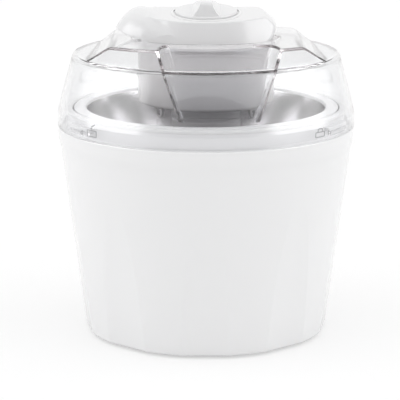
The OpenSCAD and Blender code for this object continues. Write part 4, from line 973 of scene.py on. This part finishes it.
blocks = [tick_block(a, tick_in_r, tick_out_r, tick_half_w, tick_low, tick_top)
          for a in tick_azimuths]
arcs = [sector_block(arc_in_r, arc_out_r, tick_low, arc_top, a, arc_span) for a in arc_azimuths]
ticks = skin("dial_ticks", *[on_dial(grid) for grid in blocks + arcs])
ticks.data.materials.append(moulded_plastic("tick_grey", (0.30, 0.30, 0.31), 0.5, 0.3, 0.15))
for piece in (dial, ticks):
    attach(piece, "lid_unit")
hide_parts("dial_plate")
dress(screw_steel, "dial_screws")

# ---------------------------------------------------------------- Knob, spindle and switch
# A white bar knob: a thin round skirt with a tall fin across it, widest at its foot and highest
# near its front end. It is pressed on a spindle that turns the closed switch below.
knob_z, knob_low, knob_r, knob_skirt, spindle_r = 1.1, 0.55, 24.0, 1.4, 3.05
fin_foot_w, fin_top_w, fin_h, fin_curl, fin_base = 12.0, 5.4, 12.4, 2.4, 0.3
fin_tip_y, fin_tip_power = 22.2, 0.3
fin_crest = np.array([(-21.4, 0.75), (-21.1, 1.6), (-20.7, 3.2), (-20.3, 5.4), (-19.9, 7.6),
                      (-19.3, 9.6), (-18.4, 10.9), (-16.8, 11.6), (-14.5, 11.7), (-11.0, 11.3),
                      (-4.0, 9.8), (4.0, 7.95), (12.0, 6.1), (16.0, 4.95), (18.5, 3.7), (20.2, 2.3),
                      (21.3, 0.8)])


def smooth_through(points, count):
    """A curve through points: between two of them the cubic whose slope at each is half the step
    between that point's neighbours."""
    u = np.linspace(0.0, len(points) - 1.0, count)
    i = np.clip(np.floor(u).astype(int), 0, len(points) - 2)
    t = (u - i)[:, None]
    pad = np.concatenate([points[:1], points, points[-1:]])
    p0, p1, p2, p3 = pad[i], pad[i + 1], pad[i + 2], pad[i + 3]
    return 0.5 * (2 * p1 + (p2 - p0) * t + (2 * p0 - 5 * p1 + 4 * p2 - p3) * t ** 2
                  + (3 * p1 - p0 - 3 * p2 + p3) * t ** 3)


def fin_grid(levels=48, power=8.0):
    """The fin's closed skin. At each place along it the section is a boxy arch: its height follows
    the crest, its half width narrows from foot to top along a power curve, and the corners of the
    top follow a superellipse. The walk ends across the flat base."""
    crest = smooth_through(fin_crest, 110)
    y, top = crest[:, :1], crest[:, 1:]
    phi = np.linspace(0.0, np.pi, levels)[None, :]
    across = np.sign(np.cos(phi)) * np.abs(np.cos(phi)) ** (2.0 / power)
    height = top * np.sin(phi) ** (2.0 / power)
    share = (1.0 - np.minimum(height / fin_h, 1.0)) ** fin_curl
    tip = np.clip(fin_tip_y - np.abs(y), 0.0, 1.0) ** fin_tip_power
    x = across * (fin_top_w + (fin_foot_w - fin_top_w) * share) * tip
    x = np.concatenate([x, x[:, :1] * np.linspace(-1.0, 1.0, 12)[1:-1]], axis=1)
    z = np.concatenate([np.maximum(height, fin_base), np.full((len(y), 10), fin_base)], axis=1)
    return with_ends(np.stack([x, y + 0 * x, z + knob_z], axis=-1), 1), False, True


knob_outline = [(0.0, knob_low, 0.0), (knob_r, knob_low, 0.1), (knob_r, knob_z + knob_skirt, 1.2),
                (0.0, knob_z + knob_skirt, 0.0)]
knob = skin("bar_knob", on_dial(turned(rounded(knob_outline, 6), 200)))
combine(knob, skin("fin", on_dial(fin_grid())), "UNION")
knob_bore = post((0.0, 0.0), spindle_r, knob_low - 1.0, knob_z + 4.0)
combine(knob, skin("knob_bore", on_dial(knob_bore)), "DIFFERENCE")
settle(knob, moulded_plastic("knob_white", (0.76, 0.76, 0.765), rough=0.2), 24.0)
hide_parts("knob")
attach(knob, "selector")
dark_moulding = moulded_plastic("dark_moulding", (0.06, 0.06, 0.065), 0.45, 0.3, 0.2)
dress(dark_moulding, "knob_spindle", "switch_body")

# ---------------------------------------------------------------- Motor and gears
# A small steel motor on a steel plate turns a brass pinion. Two pale gears and a last large one
# bring its speed down to the slow shaft, which turns in a bronze bush above a rubber seal.
can_steel = turned_metal("can_steel", (0.52, 0.52, 0.55), rough=0.25)
gear_nylon = moulded_plastic("gear_nylon", (0.78, 0.75, 0.66), rough=0.42, grain=0.2, tone=0.08)
dress(turned_metal("plate_steel", (0.58, 0.58, 0.6), rough=0.38, ring_scale=900.0), "gear_plate")
dress(screw_steel, "gear_plate_screws", "gear_pins", "motor_screws", "cover_screws")
dress(can_steel, "motor_can", "motor_shaft")
dress(dark_moulding, "motor_end_cap")
dress(turned_metal("brass_turned", (0.74, 0.56, 0.26), rough=0.3), "pinion")
dress(gear_nylon, "first_gear", "second_gear", "output_gear")
dress(turned_metal("bronze_turned", (0.55, 0.38, 0.22), rough=0.35), "shaft_bush")
dress(matt_rubber("seal_rubber", (0.04, 0.04, 0.042)), "shaft_seal")

# ---------------------------------------------------------------- Drive shaft and paddle
# A ground steel shaft with a flat hangs out of the nose. The white paddle is pushed on it: two flat
# blades with scraping edges that follow the wall and the floor of the bowl.
dress(turned_metal("shaft_steel", (0.62, 0.62, 0.64), rough=0.18), "drive_shaft")


def eased_copy(node, name, finish, width=0.5, levels=3):
    """A merged copy of a CAD node with one finish and its edges rounded by a Bevel of the given
    width."""
    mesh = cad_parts[node].data.copy()
    shape = bmesh.new()
    shape.from_mesh(mesh)
    bmesh.ops.remove_doubles(shape, verts=shape.verts, dist=1e-6)
    bmesh.ops.dissolve_limit(shape, angle_limit=np.radians(1.0), verts=shape.verts,
                             edges=shape.edges)
    shape.to_mesh(mesh)
    shape.free()
    copy = bpy.data.objects.new(name, mesh)
    scene.collection.objects.link(copy)
    ease = copy.modifiers.new("ease", "BEVEL")
    ease.width = width * mm
    ease.segments = levels
    ease.limit_method = "ANGLE"
    ease.angle_limit = np.radians(35.0)
    ease.harden_normals = True
    settle(copy, finish)
    return copy


paddle = eased_copy("paddle", "mixing_paddle", moulded_plastic("paddle_white", (0.84, 0.84, 0.84)))
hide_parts("paddle")
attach(paddle, "mixer")
